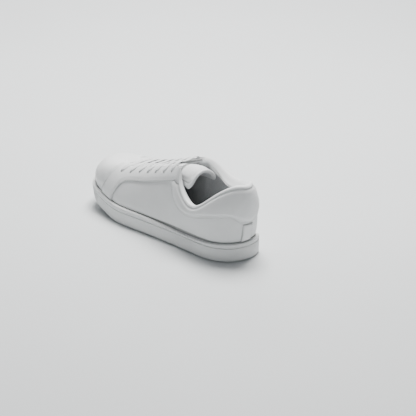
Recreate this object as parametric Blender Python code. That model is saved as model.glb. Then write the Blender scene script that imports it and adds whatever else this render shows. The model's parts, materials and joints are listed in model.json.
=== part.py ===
"""Low court shoe, left foot: a rubber cup sole with a stitched leather upper, padded collar, tongue and lace.

The origin is on the flat of the tread under the middle of the shoe. +X points to the toe, +Y to the
outer (lateral) side and +Z up. Lengths are in millimetres unless a name says otherwise.
"""

import bmesh
import bpy
import numpy as np

MM = 0.001

# Overall sizes
SHOE_LENGTH = 296.5
SHOE_WIDTH = 104.5
SIDE_HEIGHT = 81.5  # top eyelet corner above the sole's rim

# Sole
RIM_HEIGHT_HEEL = 26.5
RIM_HEIGHT_TOE = 24.4
TOE_SPRING = 14.6
SPRING_START = 0.7  # share of the length, from the heel, where the tread starts to lift
SPRING_POWER = 1.6
SOLE_WALL = 4.5
SOLE_FLOOR = 6.0
SOLE_EDGE = 1.4
TOE_UNDERCUT = 3.4
RIM_BAND = 5.5
RIM_DIP = 3.2  # how much lower the rim is under the arch than at the heel and toe
RIM_DIP_X = -57.0
RIM_DIP_REACH = 55.0
GROOVE = 0.9
FEATHER_DEPTH = 8.0  # how far the upper reaches down inside the cup
BOARD_THICKNESS = 1.6
INSOLE_HEEL = 4.5
INSOLE_TOE = 3.0

# Upper: every layer is set off from one surface, the outer face of the vamp and the quarters
FIT_GAP = 0.3
WALL_GAP = 0.5
LAYER_GAP = 0.6
LEATHER = 1.3
STIFFENER = 0.7
LINING = 0.8
COLLAR_PADDING = 4.2
SEAM_GAP = 0.02  # share of the side's height between two pieces that meet edge to edge
LAP = 0.12  # share of the side's height that a lower panel runs on under an upper one

# Eyelets and lace
EYELETS_PER_SIDE = 7
EYELET_RADIUS = 2.4
EYELET_SIDES = 8
WELD_DISTANCE = 0.00004  # metres
EYELET_FRONT = 8.73  # stations of the front and the top eyelet
EYELET_TOP = 5.65
LACE_WIDTH = 7.0
LACE_THICKNESS = 1.2
LACE_CORE_WIDTH = 2.8  # the lace bunched up where it passes an eyelet
LACE_CORE_THICKNESS = 1.6
AGLET_RADIUS = 1.7
AGLET_LENGTH = 18.0
AGLET_SIDES = 10

# Tongue
TONGUE_THICKNESS_TOP = 6.5
TONGUE_THICKNESS_ROOT = 3.2
TONGUE_SKIN = 1.0
TONGUE_BINDING = 2.4
BINDING_CLEAR = 0.012  # share of the half width between the tongue's layers and its binding
TONGUE_ARC = 0.93  # share of a full half ellipse that the tongue's cross section takes

# The stations below were drawn for a shoe of these sizes
DRAWN_LENGTH = 296.5
DRAWN_WIDTH = 104.5
DRAWN_SIDE_HEIGHT = 81.5
ORIGIN_X = 147.0  # from the heel, where the drawn shoe has its origin

# Stations round the shoe: sole outline x, y | edge of the opening x, y and height above the rim |
# swell out and up from the foot of the side | reach out and drop from the opening.
# They run from the heel's centre along the lateral side, round the toe and back along the medial side.
STATIONS = np.array(
    [
        (2, -1.5, 6.5, -2, 79.5, 6, 24, 9, 20),
        (11.5, 24, 15, 12, 79.5, 6, 23, 9, 20),
        (35, 38.5, 38, 28.5, 62.5, 6, 18, 9, 17),
        (66, 41.5, 67, 35.5, 43, 5, 12, 7, 11),
        (96, 42.5, 96, 31, 58.5, 3, 18, 8, 14),
        (120, 43.8, 107.5, 21, 81.5, 1, 20, 11, 11),
        (150, 46.5, 132, 16.5, 72, 0.5, 18, 12, 5),
        (185, 50, 168, 15.5, 58.5, 1, 16, 12, 2),
        (216, 51, 202, 15, 48.5, 1.5, 15, 12, 1),
        (248, 46.2, 225, 11, 42.5, 3.5, 20, 15, -1),
        (281, 34.2, 234, 5, 41, 5, 27, 24, -2),
        (298.5, -3, 237, -2, 40.5, 5, 28, 28, -2),
        (285, -35, 233, -9, 41, 4, 26, 24, -2),
        (249, -51.5, 224, -15, 42.5, 3, 19, 15, -1),
        (214, -53.5, 202, -18, 48.5, 1.5, 15, 12, 1),
        (182, -49.5, 168, -19, 58.5, 1, 16, 12, 2),
        (148, -43, 132, -20, 72, 0.5, 18, 12, 5),
        (121, -39, 109, -22, 81.5, 1, 20, 11, 11),
        (97, -38, 97, -32, 74.5, 3, 18, 8, 14),
        (66, -38.5, 66, -36, 62.5, 5, 13, 7, 11),
        (33, -38, 38, -31, 68, 6, 18, 9, 17),
        (9.5, -28.5, 15, -17, 77.5, 6, 23, 9, 20),
    ]
)
COUNT = len(STATIONS)
CORNER = 5  # station of the eyestay's top corner; a station's partner across the shoe is COUNT - station

# Seams on the lateral side, as station and share of the side's height; the medial side mirrors them
EYESTAY_SEAM = [(4.2, 0.9), (4.73, 0.75), (5.2, 0.68), (5.7, 0.65)]
EYESTAY_SEAM += [(6.5, 0.61), (7.2, 0.59), (7.7, 0.57), (8.14, 0.5)]
LEG_REAR = [(8.2, 0.4), (8.26, 0.26), (8.3, 0.13), (8.32, 0.03)]
LEG_FRONT = [(9.09, 0.03), (9.08, 0.34), (9.22, 0.56), (9.36, 0.73), (9.6, 0.9)]
COLLAR_SEAM = [(0.0, 0.34), (0.4, 0.355), (0.75, 0.41), (1.1, 0.47), (1.66, 0.49), (2.2, 0.55), (2.7, 0.59)]
COLLAR_SEAM += [(3.16, 0.56), (3.6, 0.5), (4.0, 0.48), (4.5, 0.48), (4.85, 0.5), (5.36, 0.635)]
EYELET_LINE = [(5.65, 0.84), (6.2, 0.81), (7.6, 0.79), (8.1, 0.74), (8.73, 0.69)]
BINDING_FOOT = 0.955  # share of the side's height where the collar's binding starts
HEEL_STRIP_HALF = 0.3
HEEL_STRIP_TOP = 0.32
HEEL_STRIP_FOOT = 0.03
FOAM_END = 4.6
HEEL_STATIONS = [0.0, 0.3, 0.6, 0.9, 1.2, 1.6, 2.0, 2.35, 2.7, 3.0, 3.3, 3.65, 4.0, 4.3, FOAM_END]
LAYER_TOP = 0.93  # share of the side's height where the collar's layers end under the binding
COUNTER_END = 3.4
COUNTER_TOP = 0.43
PUFF_START = 9.7
PUFF_TOP = 0.42
QUARTER_FRONT = [(8.68, 0.0), (8.98, 0.6)]  # front edge of the quarter under the eyestay's leg
VAMP_REAR = [(8.76, 0.0), (9.3, 1.0)]

# Tongue stations from the root to the tip: centre line x, height, half width, drop of the sides
TONGUE_STATIONS = np.array(
    [
        (247, 61.5, 19, 4),
        (236, 63, 20, 5.5),
        (202, 73, 22, 12),
        (168, 83.5, 23, 18),
        (132, 94.5, 22.5, 18.5),
        (107, 100.5, 23.5, 20),
        (88, 101.5, 26, 23),
    ]
)
TONGUE_CENTRE = -1.5
HINGE_X = 243.0
HINGE_Z = 60.5


# ---------------------------------------------------------------- curves and surfaces


def spline(values, closed):
    """Cubic spline through equally spaced knots, natural or periodic, as a function of the knot number."""
    values = np.asarray(values, float)
    count = len(values)
    system = np.eye(count)
    bend = np.zeros_like(values)
    for i in range(count):
        if closed or 0 < i < count - 1:
            system[i] = 0.0
            for step, weight in ((-1, 1.0), (0, 4.0), (1, 1.0)):
                system[i, (i + step) % count] += weight
            bend[i] = 6.0 * (values[(i + 1) % count] - 2.0 * values[i] + values[i - 1])
    second = np.linalg.solve(system, bend)

    def curve(t):
        t = np.mod(t, count) if closed else np.asarray(t, float)
        i = np.clip(np.floor(t).astype(int), 0, count - 1 if closed else count - 2)
        w = (t - i)[..., None]
        j = (i + 1) % count
        bow = ((1 - w) ** 3 - (1 - w)) * second[i] + (w**3 - w) * second[j]
        return (1 - w) * values[i] + w * values[j] + bow / 6.0

    return curve


LENGTH_SCALE = SHOE_LENGTH / DRAWN_LENGTH
WIDTH_SCALE = SHOE_WIDTH / DRAWN_WIDTH
HEIGHT_SCALE = SIDE_HEIGHT / DRAWN_SIDE_HEIGHT

drawn = STATIONS.astype(float)
drawn[:, (0, 2)] = (drawn[:, (0, 2)] - ORIGIN_X) * LENGTH_SCALE
drawn[:, (1, 3)] *= WIDTH_SCALE
drawn[:, (4, 6, 8)] *= HEIGHT_SCALE
drawn[:, 4] += RIM_HEIGHT_HEEL

outline = spline(drawn[:, :2], True)
handles = spline(drawn[:, 5:], True)
throat = spline(drawn[CORNER : COUNT - CORNER + 1, 2:5], False)
collar = spline(np.vstack([drawn[COUNT - CORNER :, 2:5], drawn[: CORNER + 1, 2:5]]), False)
HEEL_X = -ORIGIN_X * LENGTH_SCALE


def opening(u):
    """Edge of the opening above station u, with a corner at each end of the throat."""
    u = np.mod(u, COUNT)
    in_throat = (u >= CORNER) & (u <= COUNT - CORNER)
    front = throat(np.clip(u - CORNER, 0, COUNT - 2 * CORNER))
    rear = collar(np.mod(u + CORNER, COUNT))
    return np.where(in_throat[..., None], front, rear)


def lift(x):
    """Height of the tread above the floor at x."""
    start = HEEL_X + SPRING_START * SHOE_LENGTH
    share = np.clip((x - start) / (HEEL_X + SHOE_LENGTH - start), 0.0, None)
    return TOE_SPRING * share**SPRING_POWER


def rim_height(x):
    """Height of the sole's side at x, from the tread to the rim."""
    return RIM_HEIGHT_HEEL + (RIM_HEIGHT_TOE - RIM_HEIGHT_HEEL) * (x - HEEL_X) / SHOE_LENGTH


def spread_out(*values):
    """The values as float arrays of one shape."""
    return np.broadcast_arrays(*(np.asarray(value, float) for value in values))


def arch_rim(x):
    """Height of the sole's rim at x, with its dip under the arch."""
    return rim_height(x) - RIM_DIP * np.exp(-(((x / LENGTH_SCALE - RIM_DIP_X) / RIM_DIP_REACH) ** 2))


def outline_normal(u):
    along = outline(u + 0.01) - outline(u - 0.01)
    across = np.stack([-along[..., 1], along[..., 0]], -1)
    return across / np.linalg.norm(across, axis=-1, keepdims=True)


def upper_surface(u, v):
    """Outer face of the vamp and quarters: v is 0 at the rim, 1 at the opening and -1 inside the cup."""
    u, v = spread_out(u, v)
    out = outline_normal(u)
    edge = outline(u)
    foot = np.zeros(u.shape + (3,))
    foot[..., :2] = edge - out * (SOLE_WALL + WALL_GAP)
    foot[..., 2] = lift(edge[..., 0]) + rim_height(edge[..., 0])
    top = opening(u)
    hand = handles(u)
    low = foot + np.concatenate([out * hand[..., 0:1], hand[..., 1:2]], -1)
    high = top + np.concatenate([out * hand[..., 2:3], -hand[..., 3:4]], -1)
    t = np.clip(v, 0.0, None)[..., None]
    point = (1 - t) ** 3 * foot + 3 * (1 - t) ** 2 * t * low + 3 * (1 - t) * t**2 * high + t**3 * top
    point[..., 2] += np.minimum(v, 0.0) * FEATHER_DEPTH
    return point


tongue_line = spline(TONGUE_STATIONS, False)
TONGUE_SPANS = len(TONGUE_STATIONS) - 1


def tongue_surface(s, w):
    """Outer face of the tongue: s runs from the root, 0, to the tip, and w from -1 to 1 across it."""
    s, w = spread_out(s, w)
    row = tongue_line(s)
    sag = (1 - np.sqrt(1 - (TONGUE_ARC * w) ** 2)) / (1 - np.sqrt(1 - TONGUE_ARC**2))
    x = (row[..., 0] - ORIGIN_X) * LENGTH_SCALE
    y = (row[..., 2] * w + TONGUE_CENTRE) * WIDTH_SCALE
    z = (row[..., 1] - RIM_HEIGHT_HEEL - row[..., 3] * sag) * HEIGHT_SCALE + RIM_HEIGHT_HEEL
    return np.stack([x, y, z], -1)


def offset_point(surface, a, b, distance, low, high):
    """Point of a surface moved along its normal; a and b are its parameters, b kept within low and high."""
    step = 0.004
    b_mid = np.clip(b, low + step, high - step)
    along = surface(a + step, b_mid) - surface(a - step, b_mid)
    up = surface(a, b_mid + step) - surface(a, b_mid - step)
    normal = np.cross(up, along)
    normal /= np.linalg.norm(normal, axis=-1, keepdims=True)
    return surface(a, b) + normal * np.asarray(distance)[..., None]


def upper_point(u, v, distance):
    return offset_point(upper_surface, *spread_out(u, v, distance), 0.0, 1.0)


def tongue_point(s, w, distance):
    return offset_point(tongue_surface, *spread_out(s, w, distance), -1.0, 1.0)


# ---------------------------------------------------------------- making objects


def clear_scene():
    for thing in list(bpy.data.objects):
        bpy.data.objects.remove(thing, do_unlink=True)


def make_material(name, colour, roughness):
    material = bpy.data.materials.new(name)
    material.use_nodes = True
    shader = material.node_tree.nodes["Principled BSDF"]
    shader.inputs["Base Color"].default_value = (*colour, 1.0)
    shader.inputs["Roughness"].default_value = roughness
    shader.inputs["Metallic"].default_value = 0.0
    return material


def make_solid(name, points, faces, finish, smooth=True):
    """Object from points in millimetres and faces of any winding, turned outwards, with its own material."""
    mesh = bpy.data.meshes.new(name)
    mesh.from_pydata([tuple(p) for p in np.asarray(points) * MM], [], faces)
    shape = bmesh.new()
    shape.from_mesh(mesh)
    bmesh.ops.triangulate(shape, faces=shape.faces)
    bmesh.ops.recalc_face_normals(shape, faces=shape.faces)
    shape.to_mesh(mesh)
    shape.free()
    if smooth:
        mesh.shade_smooth()
        mesh.set_sharp_from_angle(angle=0.7)
    thing = bpy.data.objects.new(name, mesh)
    thing.data.materials.append(make_material(name, *FINISHES[finish]))
    bpy.context.scene.collection.objects.link(thing)
    return thing


def shell(name, point, pairs, rows, outer, inner, finish, fine=2, foot=False):
    """Closed panel between two distances from a surface.

    pairs holds (upper edge, lower edge) points in the surface's own parameters. With foot the panel
    runs on down inside the cup.
    """
    pairs = np.array(pairs, float)
    knots = np.arange(len(pairs))
    t = np.linspace(0, len(pairs) - 1, (len(pairs) - 1) * fine + 1)
    edges = np.stack([[np.interp(t, knots, pairs[:, e, k]) for k in range(2)] for e in range(2)])
    share = np.linspace(0.0, 1.0, rows + 1)
    a = edges[1, 0][:, None] * (1 - share) + edges[0, 0][:, None] * share
    b = edges[1, 1][:, None] * (1 - share) + edges[0, 1][:, None] * share
    if foot:
        a = np.hstack([a[:, :1], a])
        b = np.hstack([np.full_like(a[:, :1], -1.0), b])
    sides = [point(a, b, d(a, b) if callable(d) else d) for d in (outer, inner)]
    points = np.concatenate([side.reshape(-1, 3) for side in sides])
    return make_solid(name, points, box_faces(*a.shape), finish)


def box_faces(columns, deep):
    """Faces of a solid whose two sides are grids of columns x deep points, one after the other."""

    def at(side, i, j):
        return side * columns * deep + i * deep + j

    faces = []
    for i in range(columns - 1):
        for j in range(deep - 1):
            faces.append((at(0, i, j), at(0, i + 1, j), at(0, i + 1, j + 1), at(0, i, j + 1)))
            faces.append((at(1, i, j), at(1, i, j + 1), at(1, i + 1, j + 1), at(1, i + 1, j)))
        for j in (0, deep - 1):
            faces.append((at(0, i, j), at(1, i, j), at(1, i + 1, j), at(0, i + 1, j)))
    for j in range(deep - 1):
        for i in (0, columns - 1):
            faces.append((at(0, i, j), at(1, i, j), at(1, i, j + 1), at(0, i, j + 1)))
    return faces


def tube(name, sections, finish):
    """Closed solid swept through rings of equal point counts."""
    sides = len(sections[0])
    points = np.concatenate(sections)
    faces = []
    for i in range(len(sections) - 1):
        for j in range(sides):
            k = (j + 1) % sides
            faces.append((i * sides + j, i * sides + k, (i + 1) * sides + k, (i + 1) * sides + j))
    faces.append(tuple(range(sides)))
    faces.append(tuple(len(points) - 1 - j for j in range(sides)))
    return make_solid(name, points, faces, finish)


# ---------------------------------------------------------------- sole


def ring_stations(steps):
    """Stations in pairs at the same x on the two sides, close together at heel and toe."""
    u = np.linspace(0, COUNT, 40 * COUNT + 1)
    x = outline(u)[:, 0]
    toe = int(np.argmax(x))
    heel_u = u[np.argmin(x[: len(x) // 4])]
    near = (u >= heel_u) & (u <= u[toe])
    far = u >= u[toe]
    spots = x.min() + (x.max() - x.min()) * (0.5 - 0.5 * np.cos(np.linspace(0, np.pi, steps + 1)))
    lateral = np.interp(spots, x[near], u[near])
    medial = np.interp(spots[1:-1][::-1], x[far][::-1], u[far][::-1])
    return np.concatenate([lateral, medial])


RING_STEPS = 32
RING = ring_stations(RING_STEPS)


def sole_ring(inset, height):
    """Ring of points in from the sole's outline, height above the lifted tread; both may vary with x."""
    edge = outline(RING)
    x = edge[:, 0]
    inward = inset(x) if callable(inset) else inset
    above = height(x) if callable(height) else height
    spot = edge - outline_normal(RING) * np.broadcast_to(inward, x.shape)[:, None]
    return np.column_stack([spot, lift(x) + above])


def stack_rings(name, rings, finish):
    """Solid through a stack of sole rings, closed at both ends by strips across the shoe."""
    count = len(RING)
    faces = []
    for level in range(len(rings) - 1):
        for j in range(count):
            k = (j + 1) % count
            a = level * count
            faces.append((a + j, a + k, a + count + k, a + count + j))
    for level in (0, len(rings) - 1):
        a = level * count
        for j in range(RING_STEPS):
            quad = [j, j + 1, (count - j - 1) % count, (count - j) % count]
            faces.append(tuple(a + q for q in dict.fromkeys(quad)))
    return make_solid(name, np.concatenate(rings), faces, finish)


def undercut(x):
    """How far the tread's edge lies in from the rim: more round the lifted toe."""
    return TOE_UNDERCUT * (lift(x) / TOE_SPRING) ** 0.6


def build_sole():
    def side(height_share):
        return lambda x: undercut(x) * (1 - height_share)

    groove_low = 1 - (RIM_BAND + GROOVE) / RIM_HEIGHT_HEEL
    rings = [
        sole_ring(lambda x: undercut(x) + SOLE_EDGE, 0.0),
        sole_ring(undercut, SOLE_EDGE),
        sole_ring(side(groove_low), lambda x: rim_height(x) - RIM_BAND - GROOVE),
        sole_ring(GROOVE, lambda x: rim_height(x) - RIM_BAND - GROOVE / 2),
        sole_ring(0.0, lambda x: rim_height(x) - RIM_BAND),
        sole_ring(0.0, lambda x: arch_rim(x) - GROOVE),
        sole_ring(GROOVE, arch_rim),
        sole_ring(SOLE_WALL, arch_rim),
        sole_ring(SOLE_WALL, SOLE_FLOOR),
    ]
    stack_rings("cupsole", rings, "rubber")

    def feather(x):
        return rim_height(x) - FEATHER_DEPTH

    core_inset = SOLE_WALL + WALL_GAP
    core = [
        sole_ring(core_inset, SOLE_FLOOR + FIT_GAP),
        sole_ring(core_inset, lambda x: feather(x) - FIT_GAP),
    ]
    stack_rings("midsole_core", core, "foam")

    board_inset = core_inset + LAYER_STACK + WALL_GAP
    board = [sole_ring(board_inset, feather), sole_ring(board_inset, lambda x: feather(x) + BOARD_THICKNESS)]
    stack_rings("insole_board", board, "board")

    def insole_under(x):
        return feather(x) + BOARD_THICKNESS + FIT_GAP

    def insole_top(x):
        return insole_under(x) + INSOLE_HEEL + (INSOLE_TOE - INSOLE_HEEL) * (x - HEEL_X) / SHOE_LENGTH

    insole = [sole_ring(board_inset + FIT_GAP, height) for height in (insole_under, insole_top)]
    stack_rings("sockliner", insole, "lining")


# ---------------------------------------------------------------- upper

OVERLAY_IN = LAYER_GAP
OVERLAY_OUT = LAYER_GAP + LEATHER
STIFFENER_OUT = -(LEATHER + LAYER_GAP)
STIFFENER_IN = STIFFENER_OUT - STIFFENER
LINING_OUT = STIFFENER_IN - LAYER_GAP
LAYER_STACK = LINING - LINING_OUT


def smooth_step(value, start, end):
    t = np.clip((value - start) / (end - start), 0.0, 1.0)
    return t * t * (3 - 2 * t)


def padding(u, v):
    """Thickness that the collar's foam adds between the outer leather and the lining."""
    from_heel = np.minimum(np.mod(u, COUNT), COUNT - np.mod(u, COUNT))
    around = 1 - smooth_step(from_heel, 3.2, 5.2)
    up = smooth_step(v, 0.42, 0.72) * (1 - 0.3 * smooth_step(v, 0.88, 1.0))
    return COLLAR_PADDING * around * up


def lining_outer(u, v):
    return LINING_OUT - padding(u, v)


def lining_inner(u, v):
    return lining_outer(u, v) - LINING


def foam_outer(u, v):
    return np.full(np.shape(u), -WALL_GAP)


def foam_inner(u, v):
    return lining_outer(u, v) + LAYER_GAP


def seam(points, u):
    points = np.array(points)
    return float(np.interp(u, points[:, 0], points[:, 1]))


def quarter_top(u):
    """Top edge of the quarter, a lap above the seams of the collar and the eyestay."""
    joined = COLLAR_SEAM + [p for p in EYESTAY_SEAM if p[0] > COLLAR_SEAM[-1][0]]
    return seam(joined, min(abs(u), EYESTAY_SEAM[-1][0])) + LAP


def mirror(pairs):
    return [tuple((COUNT - u, v) for u, v in pair) for pair in pairs]


def both_sides(name, pairs, rows, outer, inner, finish, **options):
    """The same panel on the lateral and the medial side."""
    return [
        shell(f"{side}_{name}", upper_point, edge, rows, outer, inner, finish, **options)
        for side, edge in (("lateral", pairs), ("medial", mirror(pairs)))
    ]


def build_quarters():
    stations = [0.02] + HEEL_STATIONS[1:] + [4.85, 5.36, 5.8, 6.3, 6.8, 7.3, 7.8, 8.3]
    pairs = [((u, quarter_top(u)), (u, 0.0)) for u in stations]
    pairs.append((QUARTER_FRONT[1], QUARTER_FRONT[0]))
    both_sides("quarter", pairs, 5, 0.0, -LEATHER, "leather", fine=1, foot=True)


def build_vamp():
    rear = (VAMP_REAR[1], VAMP_REAR[0])
    between = [((9.75, 1.0), (9.4, 0.0)), ((10.35, 1.0), (10.2, 0.0))]
    middle = [((COUNT / 2, 1.0), (COUNT / 2, 0.0))]
    pairs = [rear] + between + middle + mirror(between)[::-1] + mirror([rear])
    shell("vamp", upper_point, pairs, 9, 0.0, -LEATHER, "leather", fine=4, foot=True)
    shell("vamp_lining", upper_point, pairs, 7, LINING_OUT, LINING_OUT - LINING, "lining", fine=3, foot=True)
    spread = [PUFF_START, 10.3, COUNT / 2, COUNT - 10.3, COUNT - PUFF_START]
    puff = [((u, PUFF_TOP), (u, 0.0)) for u in spread]
    shell("toe_puff", upper_point, puff, 4, STIFFENER_OUT, STIFFENER_IN, "board", fine=3, foot=True)


def eyestay_pairs():
    top = [(u, LAYER_TOP) for u in (4.3, FOAM_END, 4.86)] + [(u, 1.0) for u in (5.3, 6.3, 7.1, 7.7, 8.2)]
    rear = [(u, 1.0) for u in (8.35, 8.5, 8.65, 8.8)]
    front = [(u, 1.0) for u in (9.07, 9.22, 9.4, 9.58, 9.75)]
    between = [((8.93, 1.0), (8.7, 0.03))]
    return list(zip(top, EYESTAY_SEAM)) + list(zip(rear, LEG_REAR)) + between + list(zip(front, LEG_FRONT))


def tape_pairs():
    """Reinforcement under the eyelets, from the opening's edge down to the quarter's top edge."""
    pairs = [((u, LAYER_TOP), (u, quarter_top(u) + SEAM_GAP)) for u in (4.66, 4.86)]
    pairs += [((u, 1.0), (u, quarter_top(u) + SEAM_GAP)) for u in (5.05, 5.4, 6.2, 7.0, 7.7, 8.2)]
    end_u, end_v = QUARTER_FRONT[1]
    pairs.append(((VAMP_REAR[1][0] - 0.05, 1.0), (end_u, end_v + LAP / 2)))
    return pairs


def side_lining_pairs():
    pairs = [((u, LAYER_TOP), (u, 0.0)) for u in (FOAM_END + 0.06, 4.86)]
    pairs += [((u, 1.0), (u, 0.0)) for u in (5.05, 5.4, 6.2, 7.0, 7.7, 8.2)]
    pairs.append(((VAMP_REAR[1][0] - 0.05, 1.0), (VAMP_REAR[0][0] - 0.05, 0.0)))
    return pairs


def eyelet_stations():
    """Stations of the eyelets, evenly spaced along the shoe from the front one to the top one."""
    u = np.linspace(CORNER, COUNT / 2, 200)
    x = opening(u)[:, 0]
    ends = np.interp([EYELET_FRONT, EYELET_TOP], u, x)
    return np.interp(np.linspace(*ends, EYELETS_PER_SIDE), x, u)


def eyelet_height(u):
    return seam(EYELET_LINE, u)


def punch(panels, side):
    """Cut the eyelet holes of one side through its layers."""
    points = []
    faces = []
    reach = (OVERLAY_OUT + 3.0, -LAYER_STACK - 3.0)
    turn = np.linspace(0, 2 * np.pi, EYELET_SIDES, endpoint=False)
    for station in eyelet_stations():
        u = station if side == "lateral" else COUNT - station
        ends = [upper_point(u, eyelet_height(station), d) for d in reach]
        axis = (ends[0] - ends[1]) / np.linalg.norm(ends[0] - ends[1])
        across = np.cross(axis, (1.0, 0.0, 0.0))
        across /= np.linalg.norm(across)
        along = np.cross(axis, across)
        start = len(points)
        for end in ends:
            points += [end + EYELET_RADIUS * (np.cos(a) * across + np.sin(a) * along) for a in turn]
        for j in range(EYELET_SIDES):
            k = (j + 1) % EYELET_SIDES
            faces.append((start + j, start + k, start + EYELET_SIDES + k, start + EYELET_SIDES + j))
        faces.append(tuple(start + j for j in range(EYELET_SIDES)))
        faces.append(tuple(start + 2 * EYELET_SIDES - 1 - j for j in range(EYELET_SIDES)))
    cutter = make_solid(f"{side}_eyelet_cutter", points, faces, "board", smooth=False)
    cutter.hide_render = True
    cutter.display_type = "WIRE"
    for panel in panels:
        cut = panel.modifiers.new("eyelets", "BOOLEAN")
        cut.operation = "DIFFERENCE"
        cut.solver = "EXACT"
        cut.object = cutter
        weld = panel.modifiers.new("weld", "WELD")
        weld.merge_threshold = WELD_DISTANCE


def build_eyestays():
    eyestays = both_sides("eyestay", eyestay_pairs(), 7, OVERLAY_OUT, OVERLAY_IN, "leather", fine=2)
    tapes = both_sides("eyelet_tape", tape_pairs(), 4, 0.0, -LEATHER, "board", fine=2)
    lining = side_lining_pairs()
    linings = both_sides("quarter_lining", lining, 5, lining_outer, lining_inner, "lining", fine=2, foot=True)
    for side, panels in zip(("lateral", "medial"), zip(eyestays, tapes, linings)):
        punch(panels, side)


def around_heel(half):
    """Pairs from the lateral end round the heel to the medial end; half runs forward from the heel."""
    return half[::-1] + [tuple((-u, v) for u, v in pair) for pair in half[1:]]


def build_collar():
    gap = SEAM_GAP
    front = [((4.1, LAYER_TOP), (4.2, 0.48)), ((4.24, 0.84), (4.5, 0.48)), ((4.73, 0.75 - gap), (4.85, 0.5))]
    front += [((5.16, 0.685 - gap), (5.1, 0.565)), ((5.32, 0.672 - gap), (5.3, 0.62))]
    half = [((u, LAYER_TOP), (u, seam(COLLAR_SEAM, u))) for u in HEEL_STATIONS if u < 3.9] + front
    shell("collar_panel", upper_point, around_heel(half), 5, OVERLAY_OUT, OVERLAY_IN, "leather", fine=1)

    foam = [((u, LAYER_TOP), (u, quarter_top(u) + SEAM_GAP)) for u in HEEL_STATIONS]
    shell("collar_foam", upper_point, around_heel(foam), 4, foam_outer, foam_inner, "foam", fine=1)
    lining = around_heel([((u, LAYER_TOP), (u, 0.0)) for u in HEEL_STATIONS])
    shell("heel_lining", upper_point, lining, 6, lining_outer, lining_inner, "lining", fine=1, foot=True)
    counter = around_heel([((u, COUNTER_TOP), (u, 0.0)) for u in HEEL_STATIONS if u < COUNTER_END])
    shell("heel_counter", upper_point, counter, 3, STIFFENER_OUT, STIFFENER_IN, "board", fine=1, foot=True)
    strip = [((u, HEEL_STRIP_TOP), (u, HEEL_STRIP_FOOT)) for u in (-HEEL_STRIP_HALF, HEEL_STRIP_HALF)]
    shell("heel_strip", upper_point, strip, 3, OVERLAY_OUT, OVERLAY_IN, "leather", fine=4)


def build_binding():
    """Rolled edge along the collar, over the tops of the leather, the foam and the lining."""
    stations = HEEL_STATIONS[::-1] + [-u for u in HEEL_STATIONS[1:]]
    sections = []
    for u in stations:
        deep = float(lining_inner(u, BINDING_FOOT))
        profile = [(BINDING_FOOT, OVERLAY_OUT), (0.99, OVERLAY_OUT), (1.012, OVERLAY_OUT - 1.4)]
        profile += [(1.012, deep + 1.4), (0.99, deep), (BINDING_FOOT, deep)]
        sections.append(np.array([upper_point(u, v, d) for v, d in profile]))
    tube("collar_binding", sections, "leather")


# ---------------------------------------------------------------- tongue


def tongue_thickness(s, w):
    share = np.clip(s / TONGUE_SPANS, 0.0, 1.0)
    return TONGUE_THICKNESS_ROOT + (TONGUE_THICKNESS_TOP - TONGUE_THICKNESS_ROOT) * share


def tongue_inner_share(s):
    half_width = float(tongue_line(np.array(s))[2]) * WIDTH_SCALE
    return 1 - (TONGUE_BINDING + FIT_GAP) / half_width


def build_tongue():
    tip = TONGUE_SPANS
    last_span = (TONGUE_STATIONS[-2, 0] - TONGUE_STATIONS[-1, 0]) * LENGTH_SCALE
    last = tip - (TONGUE_BINDING + FIT_GAP) / last_span
    stops = np.linspace(0.0, last, 10)
    pairs = [((s, tongue_inner_share(s)), (s, -tongue_inner_share(s))) for s in stops]
    skin = TONGUE_SKIN

    def face_inner(s, w):
        return np.full(np.shape(s), -skin)

    def foam_under(s, w):
        return skin + FIT_GAP - tongue_thickness(s, w)

    def lining_over(s, w):
        return skin - tongue_thickness(s, w)

    def lining_under(s, w):
        return -tongue_thickness(s, w)

    layers = [
        ("tongue_face", 0.0, face_inner, "leather"),
        ("tongue_foam", -skin - FIT_GAP, foam_under, "foam"),
        ("tongue_lining", lining_over, lining_under, "lining"),
    ]
    made = []
    for name, outer, inner, finish in layers:
        made.append(shell(name, tongue_point, pairs, 10, outer, inner, finish, fine=1))
    rim = [((s, tongue_inner_share(s) + BINDING_CLEAR), (s, 1.0)) for s in stops]
    corner = tongue_inner_share(last) + BINDING_CLEAR
    edge = last + 0.015
    across = [((edge, w), (tip, w)) for w in np.linspace(corner, -corner, 9)]
    turn = [((edge - 0.02, corner), (tip - 0.08, 1.0)), ((edge, corner - 0.01), (tip, 0.96))]
    pairs = rim[:-1] + turn + across[1:-1]
    pairs += [tuple((s, -w) for s, w in pair) for pair in turn[::-1]]
    pairs += [((s, -w_in), (s, -w_out)) for ((s, w_in), (_, w_out)) in rim[:-1][::-1]]
    made.append(binding_strip(pairs))
    return made


def binding_strip(pairs):
    """Strip round the tongue's edge, as deep as the tongue is thick."""
    sections = []
    for inner, outer in pairs:
        corners = [(inner, 0.0), (outer, 0.0)]
        corners += [(spot, -tongue_thickness(*spot)) for spot in (outer, inner)]
        sections.append(np.array([tongue_point(s, w, d) for (s, w), d in corners]))
    return tube("tongue_binding", sections, "leather")


def hang_tongue(pieces):
    """The tongue's pieces turn about the stitches at its root."""
    axis = bpy.data.objects.new("tongue_root", None)
    height = (HINGE_Z - RIM_HEIGHT_HEEL) * HEIGHT_SCALE + RIM_HEIGHT_HEEL
    axis.location = ((HINGE_X - ORIGIN_X) * LENGTH_SCALE * MM, 0.0, height * MM)
    bpy.context.scene.collection.objects.link(axis)
    bpy.context.view_layer.update()
    for piece in pieces:
        piece.parent = axis
        piece.matrix_parent_inverse = axis.matrix_world.inverted()


# ---------------------------------------------------------------- lace

LACE_OVER = OVERLAY_OUT + LACE_THICKNESS / 2 + 4 * FIT_GAP
LACE_UNDER = -(LAYER_STACK + LACE_CORE_THICKNESS / 2 + 4 * FIT_GAP)


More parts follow.
